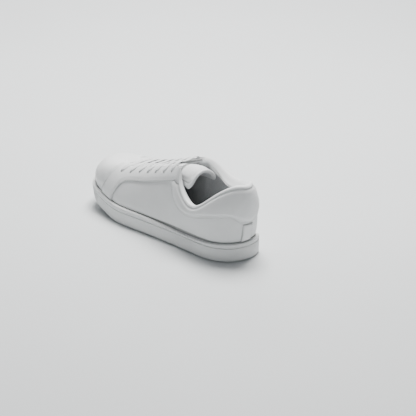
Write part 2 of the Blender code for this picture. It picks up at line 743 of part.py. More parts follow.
def lace_route():
    """The lace's centre line with its width direction and half sizes, from one tucked end to the other."""
    route = []
    flat = (LACE_WIDTH / 2, LACE_THICKNESS / 2)
    core = (LACE_CORE_WIDTH / 2, LACE_CORE_THICKNESS / 2)

    def spot(side, u, v, distance):
        return upper_point(u if side > 0 else COUNT - u, v, distance)

    def along(side, u):
        step = spot(side, u - 0.05, eyelet_height(u), 0.0) - spot(side, u + 0.05, eyelet_height(u), 0.0)
        return step / np.linalg.norm(step)

    def across(side, u):
        step = spot(side, u, eyelet_height(u) + 0.03, 0.0) - spot(side, u, eyelet_height(u), 0.0)
        return step / np.linalg.norm(step)

    def hole(side, u, upward):
        v = eyelet_height(u)
        inside = [
            (spot(side, u, v, LACE_UNDER + FIT_GAP), across(side, u), core),
            (spot(side, u, v, -1.8), across(side, u) + along(side, u), core),
            (spot(side, u, v, 0.9), along(side, u), core),
            (spot(side, u, v + 0.018, OVERLAY_OUT + 1.1), along(side, u), (core[0] + 0.3, core[1])),
        ]
        return inside if upward else inside[::-1]

    def bar(side, u):
        edges = [spot(s, u, 1.0, LACE_OVER + 0.2) for s in (side, -side)]
        crown = (edges[0] + edges[1]) / 2 + np.array((0.0, 0.0, 2.0))
        width = along(side, u)
        start = [(spot(side, u, v, LACE_OVER), width, flat) for v in (eyelet_height(u) + 0.075, 0.95)]
        end = [(spot(-side, u, v, LACE_OVER), width, flat) for v in (0.95, eyelet_height(u) + 0.075)]
        middle = [(p, width, flat) for p in (edges[0], crown, edges[1])]
        return start + middle + end

    def tail(side, points):
        wide = (core[0] + 0.5, core[1])
        depth = np.linspace(LACE_UNDER - 3.0, LACE_UNDER, len(points))
        return [(spot(side, u, v, d), across(side, EYELET_TOP), wide) for (u, v), d in zip(points, depth)]

    stations = eyelet_stations()
    side = -1
    front = [(7.1, 0.4), (7.6, 0.41), (8.1, 0.45), (8.5, 0.52), (8.7, 0.6)]
    route += tail(side, front)
    for index, u in enumerate(stations):
        route += hole(side, u, True) + bar(side, u) + hole(-side, u, False)
        side = -side
        if index < len(stations) - 1:
            ahead = stations[index + 1]
            for share in (0.3, 0.7):
                middle = u + (ahead - u) * share
                under = spot(side, middle, eyelet_height(middle), LACE_UNDER)
                route.append((under, across(side, middle), core))
    rear = [(6.9, 0.43), (6.4, 0.47), (6.0, 0.54), (5.75, 0.64), (5.66, 0.74)]
    route += tail(side, rear)[::-1]
    return route


def lace_section(centre, heading, width, sizes):
    """Flattened ring of points across the lace."""
    heading = heading / np.linalg.norm(heading)
    width = width - heading * np.dot(width, heading)
    width /= np.linalg.norm(width)
    through = np.cross(heading, width)
    half_width, half_depth = sizes
    ring = [(1, 0), (0.75, 1), (-0.75, 1), (-1, 0), (-0.75, -1), (0.75, -1)]
    return np.array([centre + width * half_width * a + through * half_depth * b for a, b in ring])


def build_lace():
    route = lace_route()
    centres = [step[0] for step in route]
    sections = []
    previous = None
    for i, (centre, width, sizes) in enumerate(route):
        heading = centres[min(i + 1, len(route) - 1)] - centres[max(i - 1, 0)]
        if previous is not None and np.dot(width, previous) < 0:
            width = -width
        previous = width
        sections.append(lace_section(centre, heading, width, sizes))
    tube("shoelace", sections, "lace")
    turn = np.linspace(0, 2 * np.pi, AGLET_SIDES, endpoint=False)
    for name, end, before in (("front_aglet", 0, 1), ("top_aglet", -1, -2)):
        heading = centres[end] - centres[before]
        heading /= np.linalg.norm(heading)
        side = np.cross(heading, (0.0, 0.0, 1.0))
        side /= np.linalg.norm(side)
        up = np.cross(heading, side)
        ends = [centres[end] + heading * d for d in (FIT_GAP, FIT_GAP + AGLET_LENGTH)]
        circle = AGLET_RADIUS * (np.cos(turn)[:, None] * side + np.sin(turn)[:, None] * up)
        tube(name, [centre + circle for centre in ends], "aglet")


FINISHES = {
    "rubber": ((0.78, 0.79, 0.78), 0.55),
    "leather": ((0.83, 0.84, 0.84), 0.45),
    "lining": ((0.55, 0.57, 0.58), 0.9),
    "foam": ((0.8, 0.78, 0.7), 0.95),
    "board": ((0.7, 0.66, 0.58), 0.85),
    "lace": ((0.86, 0.87, 0.87), 0.8),
    "aglet": ((0.85, 0.86, 0.87), 0.3),
}

clear_scene()
build_sole()
build_quarters()
build_vamp()
build_eyestays()
build_collar()
build_binding()
hang_tongue(build_tongue())
build_lace()
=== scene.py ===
import json
import math
import bmesh
import bpy
import numpy as np
from mathutils import Matrix, Vector, noise

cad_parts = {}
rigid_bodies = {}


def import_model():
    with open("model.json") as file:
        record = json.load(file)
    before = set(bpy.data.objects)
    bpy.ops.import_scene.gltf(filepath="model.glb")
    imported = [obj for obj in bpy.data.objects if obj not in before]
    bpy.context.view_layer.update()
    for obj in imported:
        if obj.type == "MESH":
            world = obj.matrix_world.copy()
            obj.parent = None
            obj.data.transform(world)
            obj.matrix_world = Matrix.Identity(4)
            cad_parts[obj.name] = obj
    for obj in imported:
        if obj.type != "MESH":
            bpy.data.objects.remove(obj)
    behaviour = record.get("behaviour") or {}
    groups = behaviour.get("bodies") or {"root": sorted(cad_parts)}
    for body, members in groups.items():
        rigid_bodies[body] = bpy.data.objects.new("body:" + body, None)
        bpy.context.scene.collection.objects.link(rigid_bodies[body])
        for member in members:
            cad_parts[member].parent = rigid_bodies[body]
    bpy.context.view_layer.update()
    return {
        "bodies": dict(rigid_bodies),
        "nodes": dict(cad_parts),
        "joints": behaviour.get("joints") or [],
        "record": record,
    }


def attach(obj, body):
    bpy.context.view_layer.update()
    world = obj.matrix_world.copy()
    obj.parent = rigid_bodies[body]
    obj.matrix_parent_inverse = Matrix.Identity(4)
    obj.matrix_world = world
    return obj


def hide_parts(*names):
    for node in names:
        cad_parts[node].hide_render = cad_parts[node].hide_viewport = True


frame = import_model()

# All shapes below are worked out in millimetres and turned into metres when a mesh is made.
mm = 0.001
print("court shoe: frame loaded,", len(frame["nodes"]), "nodes")

# The last, station by station round the shoe from the heel's centre, along the outer side and back:
# sole outline x, y | opening x, y, height above the rim | swell out and up | reach out and drop
lastStations = np.array([
    (2, -1.5, 6.5, -2, 79.5, 6, 24, 9, 20),
    (11.5, 24, 15, 12, 79.5, 6, 23, 9, 20),
    (35, 38.5, 38, 28.5, 62.5, 6, 18, 9, 17),
    (66, 41.5, 67, 35.5, 43, 5, 12, 7, 11),
    (96, 42.5, 96, 31, 58.5, 3, 18, 8, 14),
    (120, 43.8, 107.5, 21, 81.5, 1, 20, 11, 11),
    (150, 46.5, 132, 16.5, 72, 0.5, 18, 12, 5),
    (185, 50, 168, 15.5, 58.5, 1, 16, 12, 2),
    (216, 51, 202, 15, 48.5, 1.5, 15, 12, 1),
    (248, 46.2, 225, 11, 42.5, 3.5, 20, 15, -1),
    (281, 34.2, 234, 5, 41, 5, 27, 24, -2),
    (298.5, -3, 237, -2, 40.5, 5, 28, 28, -2),
    (285, -35, 233, -9, 41, 4, 26, 24, -2),
    (249, -51.5, 224, -15, 42.5, 3, 19, 15, -1),
    (214, -53.5, 202, -18, 48.5, 1.5, 15, 12, 1),
    (182, -49.5, 168, -19, 58.5, 1, 16, 12, 2),
    (148, -43, 132, -20, 72, 0.5, 18, 12, 5),
    (121, -39, 109, -22, 81.5, 1, 20, 11, 11),
    (97, -38, 97, -32, 74.5, 3, 18, 8, 14),
    (66, -38.5, 66, -36, 62.5, 5, 13, 7, 11),
    (33, -38, 38, -31, 68, 6, 18, 9, 17),
    (9.5, -28.5, 15, -17, 77.5, 6, 23, 9, 20),
], float)
stationCount = len(lastStations)
corner = 5
drawnOrigin = 147.0

sole = {
    "length": 296.5, "rimDip": 3.2, "dipAt": -57.0, "dipReach": 55.0,
    "rimHeel": 26.5, "rimToe": 24.4, "toeSpring": 14.6, "springStart": 0.7, "springPower": 1.6,
    "wall": 4.5, "floor": 6.0, "undercut": 3.4, "band": 5.5, "groove": 1.3, "grooveDeep": 1.6,
    # the rubbed amount darkens the sole's bottom rings: painted shade where the sole meets the floor
    "feather": 8.0, "rubbed": 0.3, "edgeRound": 1.6, "belly": 0.35, "lip": 0.25, "rimRound": 1.2,
    "innerRound": 0.7,
}
layers = {
    "leather": 1.3, "gap": 0.6, "wallGap": 0.5, "stiffener": 0.7, "lining": 0.8, "padding": 4.2,
}
overlayIn = layers["gap"]
overlayOut = overlayIn + layers["leather"]
liningOut = -(layers["leather"] + 2 * layers["gap"] + layers["stiffener"])
liningIn = liningOut - layers["lining"]


def unit(vectors):
    return vectors / np.linalg.norm(vectors, axis=-1, keepdims=True)


# A smooth curve through the rows of values, one step of its parameter apart; two rows give a straight line.
def curveThrough(values, closed=False):
    values = np.asarray(values, float)
    n = len(values)
    system = np.eye(n)
    bend = np.zeros_like(values)
    for i in range(n):
        if closed or 0 < i < n - 1:
            system[i] = 0.0
            for step, weight in ((-1, 1.0), (0, 4.0), (1, 1.0)):
                system[i, (i + step) % n] += weight
            bend[i] = 6.0 * (values[(i + 1) % n] - 2.0 * values[i] + values[i - 1])
    second = np.linalg.solve(system, bend)

    def at(t):
        t = np.mod(t, n) if closed else np.asarray(t, float)
        i = np.clip(np.floor(t).astype(int), 0, n - 1 if closed else n - 2)
        w = (t - i)[..., None]
        j = (i + 1) % n
        bow = ((1 - w) ** 3 - (1 - w)) * second[i] + (w**3 - w) * second[j]
        return (1 - w) * values[i] + w * values[j] + bow / 6.0

    return at


last = lastStations.copy()
last[:, (0, 2)] -= drawnOrigin
last[:, 4] += sole["rimHeel"]
soleLine = curveThrough(last[:, :2], True)
sideShape = curveThrough(last[:, 5:], True)
throatLine = curveThrough(last[corner:stationCount - corner + 1, 2:5])
collarLine = curveThrough(np.vstack([last[stationCount - corner:, 2:5], last[:corner + 1, 2:5]]))


def openingLine(u):
    u = np.mod(u, stationCount)
    front = (u >= corner) & (u <= stationCount - corner)
    throat = throatLine(np.clip(u - corner, 0, stationCount - 2 * corner))
    return np.where(front[..., None], throat, collarLine(np.mod(u + corner, stationCount)))


def treadLift(x):
    start = -drawnOrigin + sole["springStart"] * sole["length"]
    share = np.clip((x - start) / (sole["length"] * (1 - sole["springStart"])), 0.0, None)
    return sole["toeSpring"] * share ** sole["springPower"]


def rimHeight(x):
    return sole["rimHeel"] + (sole["rimToe"] - sole["rimHeel"]) * (x + drawnOrigin) / sole["length"]


def outwards(u):
    along = soleLine(u + 0.01) - soleLine(u - 0.01)
    return unit(np.stack([-along[..., 1], along[..., 0]], -1))


# Outer face of the upper: v is 0 at the sole's rim and 1 at the opening, and -1 inside the cup.
def lastFace(u, v):
    u, v = np.broadcast_arrays(np.asarray(u, float), np.asarray(v, float))
    out = outwards(u)
    edge = soleLine(u)
    foot = np.zeros(u.shape + (3,))
    foot[..., :2] = edge - out * (sole["wall"] + layers["wallGap"])
    foot[..., 2] = treadLift(edge[..., 0]) + rimHeight(edge[..., 0])
    top = openingLine(u)
    hand = sideShape(u)
    low = foot + np.concatenate([out * hand[..., 0:1], hand[..., 1:2]], -1)
    high = top + np.concatenate([out * hand[..., 2:3], -hand[..., 3:4]], -1)
    t = np.clip(v, 0.0, None)[..., None]
    point = (1 - t) ** 3 * foot + 3 * (1 - t) ** 2 * t * low + 3 * (1 - t) * t**2 * high + t**3 * top
    point[..., 2] += np.minimum(v, 0.0) * sole["feather"]
    return point


tongueShape = np.array([
    (247, 61.5, 19, 4), (236, 63, 20, 5.5), (202, 73, 22, 12), (168, 83.5, 23, 18),
    (132, 94.5, 22.5, 18.5), (107, 100.5, 23.5, 20), (88, 101.5, 26, 23),
], float)
tongueLine = curveThrough(tongueShape)
tongueEnd = len(tongueShape) - 1
tongueArc = 0.93


def tongueFaceAt(s, w):
    s, w = np.broadcast_arrays(np.asarray(s, float), np.asarray(w, float))
    row = tongueLine(s)
    sag = (1 - np.sqrt(1 - (tongueArc * w) ** 2)) / (1 - math.sqrt(1 - tongueArc**2))
    return np.stack([row[..., 0] - drawnOrigin, row[..., 2] * w - 1.5, row[..., 1] - row[..., 3] * sag], -1)


def pushedOut(face, a, b, distance, low, high):
    a, b, distance = (np.asarray(k, float) for k in np.broadcast_arrays(a, b, distance))
    step = 0.004
    middle = np.clip(b, low + step, high - step)
    along = face(a + step, middle) - face(a - step, middle)
    up = face(a, middle + step) - face(a, middle - step)
    return face(a, b) + unit(np.cross(up, along)) * distance[..., None]


def onUpper(u, v, distance=0.0):
    return pushedOut(lastFace, u, v, distance, 0.0, 1.0)


def onTongue(s, w, distance=0.0):
    return pushedOut(tongueFaceAt, s, w, distance, -1.0, 1.0)


def smoothStep(value, start, end):
    t = np.clip((value - start) / (end - start), 0.0, 1.0)
    return t * t * (3 - 2 * t)


def paddingAt(u, v):
    u = np.mod(u, stationCount)
    around = 1 - smoothStep(np.minimum(u, stationCount - u), 3.2, 5.2)
    return layers["padding"] * around * smoothStep(v, 0.42, 0.72) * (1 - 0.3 * smoothStep(v, 0.88, 1.0))


# Materials

def shade(tone, share):
    return tuple(c * share for c in tone)


# One procedural finish: its node tree, its shader and the object's own coordinates.
class Finish:
    def __init__(self, name):
        self.material = bpy.data.materials.new(name)
        self.material.use_nodes = True
        self.tree = self.material.node_tree
        self.shader = self.tree.nodes["Principled BSDF"]
        self.coords = self.add("TexCoord").outputs["Object"]

    def add(self, kind, inputs=(), **settings):
        node = self.tree.nodes.new("ShaderNode" + kind)
        for key, value in settings.items():
            setattr(node, key, value)
        self.fill(node, inputs)
        return node

    def fill(self, node, inputs):
        for key, value in dict(inputs).items():
            if isinstance(value, bpy.types.NodeSocket):
                self.tree.links.new(value, node.inputs[key])
            else:
                node.inputs[key].default_value = value

    def surface(self, inputs):
        self.fill(self.shader, inputs)

    def noise(self, scale, detail=4.0, rough=0.55, coords=None):
        coords = self.coords if coords is None else coords
        inputs = {"Scale": scale, "Detail": detail, "Roughness": rough, "Vector": coords}
        return self.add("TexNoise", inputs).outputs["Fac"]

    def ramp(self, value, *stops):
        node = self.add("ValToRGB", {"Fac": value})
        for element, (place, colour) in zip(node.color_ramp.elements, stops):
            element.position = place
            element.color = (*colour, 1)
        return node.outputs["Color"]

    def math(self, kind, a, b=0.0):
        return self.add("Math", {0: a, 1: b}, operation=kind).outputs[0]

    def mix(self, share, a, b, kind="MIX"):
        a, b = ((*c, 1) if isinstance(c, tuple) else c for c in (a, b))
        return self.add("Mix", {0: share, 6: a, 7: b}, data_type="RGBA", blend_type=kind).outputs[2]

    def spread(self, value, low, high, start=0.0, end=1.0):
        inputs = {"Value": value, "From Min": start, "From Max": end, "To Min": low, "To Max": high}
        return self.add("MapRange", inputs).outputs[0]

    # Mixes in a darker tone by the mesh's mask: rubbed edges together with painted shade at panel edges,
    # seams and the sole's bottom edge.
    def wornAndShaded(self, colour, rubbed):
        wear = self.add("Attribute", attribute_name="wear").outputs["Fac"]
        return self.mix(wear, colour, rubbed)

    def bump(self, *heights):
        normal = {}
        for height, strength, depth in heights:
            inputs = {"Strength": strength, "Distance": depth * mm, "Height": height}
            normal = {"Normal": self.add("Bump", {**inputs, **normal}).outputs["Normal"]}
        self.surface(normal)


# Smooth coated leather: a fine grain, faint mottling, and darker cut edges and seams, partly soiling where
# edges are rubbed and partly painted shade.
def leatherMaterial(name, tone, grain=900.0, rough=(0.36, 0.5), grainDepth=0.12):
    look = Finish(name)
    colour = look.ramp(look.noise(45.0, 5.0), (0.3, shade(tone, 0.955)), (0.7, tone))
    cells = look.add("TexVoronoi", {"Scale": grain, "Vector": look.coords}, feature="DISTANCE_TO_EDGE")
    pores = look.math("MINIMUM", cells.outputs["Distance"], 0.12)
    look.bump((pores, 0.35, grainDepth), (look.noise(160.0, 6.0), 0.15, 0.25))
    look.surface({
        # darker at cut edges and seams: rubbed soiling plus painted shade in the seam grooves
        "Base Color": look.wornAndShaded(colour, shade(tone, 0.42)),
        "Roughness": look.spread(look.noise(120.0, 3.0), *rough),
        "Specular IOR Level": 0.42, "Coat Weight": 0.06, "Coat Roughness": 0.35,
    })
    return look.material


# Moulded rubber: matt, with fine speckle, flow marks and painted shade near the floor.
def rubberMaterial(name, tone):
    look = Finish(name)
    colour = look.ramp(look.noise(30.0, 4.0), (0.3, shade(tone, 0.95)), (0.72, tone))
    height = look.add("SeparateXYZ", {0: look.coords}).outputs["Z"]
    # painted shade: darker within a few millimetres of the floor
    colour = look.mix(look.spread(height, 0.3, 0.0, 0.001, 0.008), colour, shade(tone, 0.8))
    look.bump((look.noise(2600.0, 2.0), 0.25, 0.08), (look.noise(220.0, 4.0), 0.1, 0.2))
    look.surface({
        # darker bottom edge through the mask, painted shade by the floor
        "Base Color": look.wornAndShaded(colour, shade(tone, 0.86)),
        "Roughness": look.spread(look.noise(260.0, 3.0), 0.48, 0.68),
        "Specular IOR Level": 0.35,
    })
    return look.material


# Knitted cloth: crossing threads from wave textures, fuzz and a soft sheen.
def clothMaterial(name, tone, threads, twist=0.0):
    look = Finish(name)
    turn = (0.4 + twist, 0.3, 0.78 + twist)
    turned = look.add("Mapping", {"Rotation": turn, "Vector": look.coords}).outputs[0]
    inputs = {"Scale": threads / 6.28, "Distortion": 1.2, "Detail": 1.0, "Detail Scale": 0.6}
    inputs["Vector"] = turned
    x, y, z = (look.add("TexWave", inputs, bands_direction=way).outputs["Fac"] for way in "XYZ")
    weave = look.math("MAXIMUM", look.math("MULTIPLY", x, y), look.math("MULTIPLY", y, z))
    colour = look.ramp(weave, (0.0, shade(tone, 0.72)), (0.55, tone))
    blotch = look.ramp(look.noise(60.0), (0.3, (0.9, 0.9, 0.9)), (0.7, (1, 1, 1)))
    colour = look.mix(1.0, colour, blotch, "MULTIPLY")
    look.bump((weave, 0.5, 0.25), (look.noise(3000.0, 2.0), 0.2, 0.06))
    look.surface({
        # darker at panel edges and seams through the mask, partly rubbed and partly painted shade
        "Base Color": look.wornAndShaded(colour, shade(tone, 0.8)), "Roughness": 0.88, "Sheen Weight": 0.35,
        "Sheen Roughness": 0.5,
    })
    return look.material


# Open foam: small round cells.
def foamMaterial(name, tone):
    look = Finish(name)
    cells = look.add("TexVoronoi", {"Scale": 900.0, "Vector": look.coords}).outputs["Distance"]
    look.bump((cells, 0.8, 0.4))
    look.surface({"Base Color": look.ramp(cells, (0.0, shade(tone, 0.6)), (0.4, tone)), "Roughness": 0.95})
    return look.material


# Pressed fibre board and tape: short fibres in every direction.
def boardMaterial(name, tone):
    look = Finish(name)
    stretched = look.add("Mapping", {"Scale": (1.0, 7.0, 7.0), "Vector": look.coords}).outputs[0]
    fibre = look.noise(240.0, 8.0, 0.7, stretched)
    look.bump((fibre, 0.5, 0.2))
    look.surface({"Base Color": look.ramp(fibre, (0.35, shade(tone, 0.75)), (0.65, tone)), "Roughness": 0.85})
    return look.material


# Flat woven lace: ribs across and a chevron along, laid out by the ribbon's own coordinates.
def laceMaterial(name, tone):
    look = Finish(name)
    split = look.add("SeparateXYZ", {0: look.add("UVMap", uv_map="ribbon").outputs[0]}).outputs
    across = look.math("ABSOLUTE", look.math("SUBTRACT", split["Y"], 0.5))
    slant = look.math("ADD", split["X"], look.math("MULTIPLY", across, 2.4))
    ribs = look.math("SINE", look.math("MULTIPLY", slant, 2 * math.pi))
    warps = look.math("SINE", look.math("MULTIPLY", split["Y"], 2 * math.pi * 9))
    weave = look.math("ADD", look.math("MULTIPLY", ribs, 0.3), look.math("MULTIPLY", warps, 0.2))
    weave = look.math("ADD", weave, 0.5)
    look.bump((weave, 0.6, 0.25), (look.noise(4000.0, 2.0), 0.2, 0.05))
    look.surface({
        "Base Color": look.ramp(weave, (0.05, shade(tone, 0.8)), (0.6, tone)), "Roughness": 0.82,
        "Sheen Weight": 0.25, "Sheen Roughness": 0.4,
    })
    return look.material


def threadMaterial(name, tone):
    look = Finish(name)
    ply = look.noise(2200.0, 3.0)
    look.bump((ply, 0.5, 0.1))
    colour = look.ramp(ply, (0.3, shade(tone, 0.82)), (0.7, tone))
    look.surface({"Base Color": colour, "Roughness": 0.6, "Sheen Weight": 0.2})
    return look.material


# Clear film round the lace's ends.
def agletMaterial(name, tone):
    look = Finish(name)
    haze = look.ramp(look.noise(500.0, 3.0), (0.3, (0.74, 0.75, 0.77)), (0.7, tone))
    look.bump((look.noise(900.0, 2.0), 0.2, 0.1))
    look.surface({"Base Color": haze, "Roughness": 0.18, "Coat Weight": 0.5})
    return look.material


finishes = {}
for make, name, tone, extra in (
    (leatherMaterial, "vampLeather", (0.80, 0.81, 0.81), {}),
    (leatherMaterial, "quarterLeather", (0.79, 0.80, 0.80), {}),
    (leatherMaterial, "stayLeather", (0.81, 0.82, 0.82), {"grain": 820.0}),
    (leatherMaterial, "collarLeather", (0.80, 0.81, 0.81), {"grain": 760.0, "rough": (0.4, 0.54)}),
    (leatherMaterial, "bindingLeather", (0.83, 0.84, 0.84), {"rough": (0.38, 0.5)}),
    (leatherMaterial, "tongueLeather", (0.80, 0.81, 0.81),
     {"grain": 420.0, "rough": (0.5, 0.64), "grainDepth": 0.3}),
    (leatherMaterial, "rollLeather", (0.80, 0.81, 0.81), {"grain": 700.0}),
    (rubberMaterial, "soleRubber", (0.76, 0.77, 0.765), {}),
    (rubberMaterial, "treadRubber", (0.74, 0.75, 0.745), {}),
    (clothMaterial, "liningKnit", (0.72, 0.735, 0.745), {"threads": 2600.0}),
    (clothMaterial, "tongueKnit", (0.80, 0.82, 0.83), {"threads": 2600.0, "twist": 0.3}),
    # the footbed's dark grey is painted shade inside the shoe
    (clothMaterial, "footbedCloth", (0.27, 0.28, 0.29), {"threads": 2000.0, "twist": 0.8}),
    (laceMaterial, "whiteLace", (0.84, 0.85, 0.85), {}),
    (threadMaterial, "whiteThread", (0.82, 0.83, 0.83), {}),
    (foamMaterial, "collarFoam", (0.78, 0.76, 0.66), {}),
    (foamMaterial, "coreFoam", (0.76, 0.76, 0.74), {}),
    (boardMaterial, "fibreBoard", (0.62, 0.55, 0.44), {}),
    (boardMaterial, "stiffenerBoard", (0.66, 0.64, 0.6), {}),
    (boardMaterial, "edgeTape", (0.76, 0.765, 0.76), {}),
    (agletMaterial, "agletFilm", (0.86, 0.87, 0.88), {}),
):
    finishes[name] = make(name, tone, **extra)
print("materials mixed:", len(finishes))


# Mesh making

def meshOf(name, points, faces):
    mesh = bpy.data.meshes.new(name)
    mesh.from_pydata((np.asarray(points) * mm).tolist(), [], faces)
    shape = bmesh.new()
    shape.from_mesh(mesh)
    bmesh.ops.recalc_face_normals(shape, faces=shape.faces)
    shape.to_mesh(mesh)
    shape.free()
    return mesh


def makePiece(name, points, faces, finish, body="shoe", wear=None, sharp=0.9):
    mesh = meshOf(name, points, faces)
    if wear is not None:
        # stores the darkening mask: rubbed edges together with painted shade at edges, seams and the sole's
        # bottom
        mesh.attributes.new("wear", "FLOAT", "POINT").data.foreach_set("value", np.asarray(wear, np.float32))
    mesh.shade_smooth()
    mesh.set_sharp_from_angle(angle=sharp)
    piece = bpy.data.objects.new(name, mesh)
    mesh.materials.append(finishes[finish])
    bpy.context.scene.collection.objects.link(piece)
    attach(piece, body)
    return piece


def boxFaces(columns, rows):
    i, j = np.meshgrid(np.arange(columns - 1), np.arange(rows - 1), indexing="ij")
    a = (i * rows + j).ravel()
    size = columns * rows
    outer = np.stack([a, a + rows, a + rows + 1, a + 1], -1)
    inner = outer[:, ::-1] + size
    ends = []
    for j in (0, rows - 1):
        k = np.arange(columns - 1) * rows + j
        ends.append(np.stack([k, k + size, k + rows + size, k + rows], -1))
    for i in (0, columns - 1):
        k = i * rows + np.arange(rows - 1)
        ends.append(np.stack([k, k + size, k + 1 + size, k + 1], -1))
    return np.concatenate([outer, inner, *ends]).tolist()


def sweepFaces(count, sides, closed=False):
    faces = []
    for i in range(count if closed else count - 1):
        a, b = i * sides, ((i + 1) % count) * sides
        faces += [(a + j, a + (j + 1) % sides, b + (j + 1) % sides, b + j) for j in range(sides)]
    if not closed:
        faces += [tuple(range(sides)), tuple((count - 1) * sides + j for j in range(sides))[::-1]]
    return faces


# Adds one closed tube through rings of points to a mesh's points and faces.
def addTube(points, faces, rings, closed=False):
    base = len(points)
    for ring in rings:
        points.extend(ring)
    faces.extend(tuple(base + k for k in f) for f in sweepFaces(len(rings), len(rings[0]), closed))


def nearest(points, line):
    points = np.asarray(points).reshape(-1, 3)
    best = np.full(len(points), 1e9)
    for start in range(0, len(points), 4000):
        block = points[start:start + 4000]
        gaps = np.linalg.norm(block[:, None] - line[None], axis=-1)
        best[start:start + 4000] = gaps.min(1)
    return best


def walkAlong(line):
    return np.concatenate([[0], np.cumsum(np.linalg.norm(np.diff(line, axis=0), axis=1))])


# Smooth chains of edge pairs: each run is a smooth stretch, and runs meet in corners.
def densePairs(face, runs, spacing):
    out = []
    for run in runs:
        knots = np.array([(*a, *b) for a, b in run], float)
        smooth = curveThrough(knots)
        rough = smooth(np.linspace(0, len(knots) - 1, 60))
        lengths = [walkAlong(face(rough[:, k], rough[:, k + 1]))[-1] for k in (0, 2)]
        count = max(2, int(max(lengths) / spacing) + 1)
        dense = smooth(np.linspace(0, len(knots) - 1, count))
        out.append(dense if not out else dense[1:])
    return np.concatenate(out)


def gradedShare(count, ends=0.45):
    t = np.linspace(0, 1, count + 1)
    return (1 - ends) * t + ends * (0.5 - 0.5 * np.cos(np.pi * t))


# A sewn panel: closed, with a rounded cut edge, soft puff, grooves under its stitch rows and slight waviness.
def panel(name, runs, finish, outer, inner, spacing=2.2, rows=26, foot=False, puff=0.0, puffReach=7.0,
          roundness=0.7, seams=(), seamDepth=0.35, seamWidth=0.8, ripple=0.12,
          face=lastFace, push=None, body="shoe", rowEnds=0.45):
    push = push or onUpper
    pairs = densePairs(face, runs, spacing)
    share = gradedShare(rows, rowEnds)
    a = pairs[:, 2:3] * (1 - share) + pairs[:, 0:1] * share
    b = pairs[:, 3:4] * (1 - share) + pairs[:, 1:2] * share
    if foot:
        a = np.hstack([a[:, :1], a])
        b = np.hstack([np.full_like(a[:, :1], -1.0), b])
    outerAt = outer(a, b) if callable(outer) else np.full_like(a, outer)
    innerAt = inner(a, b) if callable(inner) else np.full_like(a, inner)
    base = push(a, b, outerAt)
    start = 1 if foot else 0
    rim = np.concatenate([base[:, start], base[:, -1], base[0, start:], base[-1, start:]])
    rim = np.concatenate([rim, (rim[1:] + rim[:-1]) / 2])
    gap = nearest(base, rim).reshape(a.shape)
    if foot:
        gap[:, 0] = 3.0
    lift = puff * (1 - np.exp(-gap / puffReach)) if puff else np.zeros_like(gap)
    close = np.clip(gap / roundness, 0, 1)
    lift -= roundness * (1 - np.sqrt(np.clip(1 - (1 - close) ** 2, 0, 1)))
    for line in seams:
        lift -= seamDepth * np.exp(-((nearest(base, line).reshape(a.shape) / seamWidth) ** 2))
    if ripple:
        flat = base.reshape(-1, 3)
        waves = np.array([noise.noise(Vector(p) * 0.035) for p in flat]).reshape(a.shape)
        fine = np.array([noise.noise(Vector(p) * 0.12 + Vector((7, 3, 1))) for p in flat]).reshape(a.shape)
        lift += ripple * (waves + 0.25 * fine) * np.clip(gap / 6, 0, 1)
    top = push(a, b, outerAt + lift)
    under = push(a, b, innerAt)
    # Darkening mask: rubbed, soiled cut edges plus painted shade along the edges and in the stitch grooves;
    # the back face gets a slight even darkening.
    wear = 0.8 * np.exp(-((gap / 0.75) ** 2))
    for line in seams:
        wear = np.maximum(wear, 0.12 * np.exp(-(nearest(base, line).reshape(a.shape) / 0.9) ** 2))
    points = np.concatenate([top.reshape(-1, 3), under.reshape(-1, 3)])
    wear = np.concatenate([wear.ravel(), np.full(a.size, 0.1)])
    return makePiece(name, points, boxFaces(*a.shape), finish, body, wear)


cloth = {
    "grow": 20.0, "pressure": 40.0, "frames": 20, "mass": 0.2, "tension": 4.0, "bending": 0.2, "quality": 5,
    "freeWear": 0.05,
}


# Inflates a sewn pad as cloth: its back, cut edges and seams are held, the rest swells by at most so many mm.
def plump(piece, most, inside=False):
    count = len(piece.data.vertices)
    start = np.empty(count * 3)
    piece.data.vertices.foreach_get("co", start)
    start = start.reshape(-1, 3)
    wear = np.empty(count, np.float32)
    piece.data.attributes["wear"].data.foreach_get("value", wear)
    free = np.zeros(count, bool)
    half = count // 2
    # vertices free to swell are those away from edges and seams in the darkening mask
    free[half if inside else 0:count if inside else half] = wear[:half] < cloth["freeWear"]
    scene = bpy.context.scene
    work = bpy.data.objects.new("clothWork", piece.data.copy())
    scene.collection.objects.link(work)
    work.data.vertices.foreach_set("co", (start * cloth["grow"]).ravel())
    held = work.vertex_groups.new(name="held")
    held.add(np.flatnonzero(~free).tolist(), 1.0, "REPLACE")
    rig = work.modifiers.new("cloth", "CLOTH")
    kind = rig.settings
    kind.quality = cloth["quality"]
    kind.mass = cloth["mass"]
    kind.tension_stiffness = kind.compression_stiffness = cloth["tension"]
    kind.shear_stiffness = cloth["tension"] / 3
    kind.bending_stiffness = cloth["bending"]
    kind.vertex_group_mass = "held"
    kind.use_pressure = True
    kind.uniform_pressure_force = cloth["pressure"]
    kind.effector_weights.gravity = 0
    rig.collision_settings.use_collision = False
    rig.point_cache.frame_start, rig.point_cache.frame_end = 1, cloth["frames"]
    before = scene.frame_current
    for frame in range(1, cloth["frames"] + 1):
        scene.frame_set(frame)
    swollen = np.empty(count * 3)
    work.evaluated_get(bpy.context.evaluated_depsgraph_get()).data.vertices.foreach_get("co", swollen)
    move = swollen.reshape(-1, 3) / cloth["grow"] - start
    far = np.linalg.norm(move, axis=1)
    move *= (most * mm * np.tanh(far / (most * mm)) / np.maximum(far, 1e-9))[:, None]
    scene.frame_set(before)
    piece.data.vertices.foreach_set("co", (start + move).ravel())
    piece.data.update()
    print(piece.name, "swelled by up to", round(float(np.linalg.norm(move, axis=1).max()) * 1000, 2), "mm")
    old = work.data
    bpy.data.objects.remove(work)
    bpy.data.meshes.remove(old)


def mirrored(runs):
    return [[tuple((stationCount - u, v) for u, v in pair) for pair in run] for run in runs]


def mirroredLine(line):
    return [(stationCount - u, v) for u, v in line]


def sideRuns(runs, side):
    return runs if side == "lateral" else mirrored(runs)


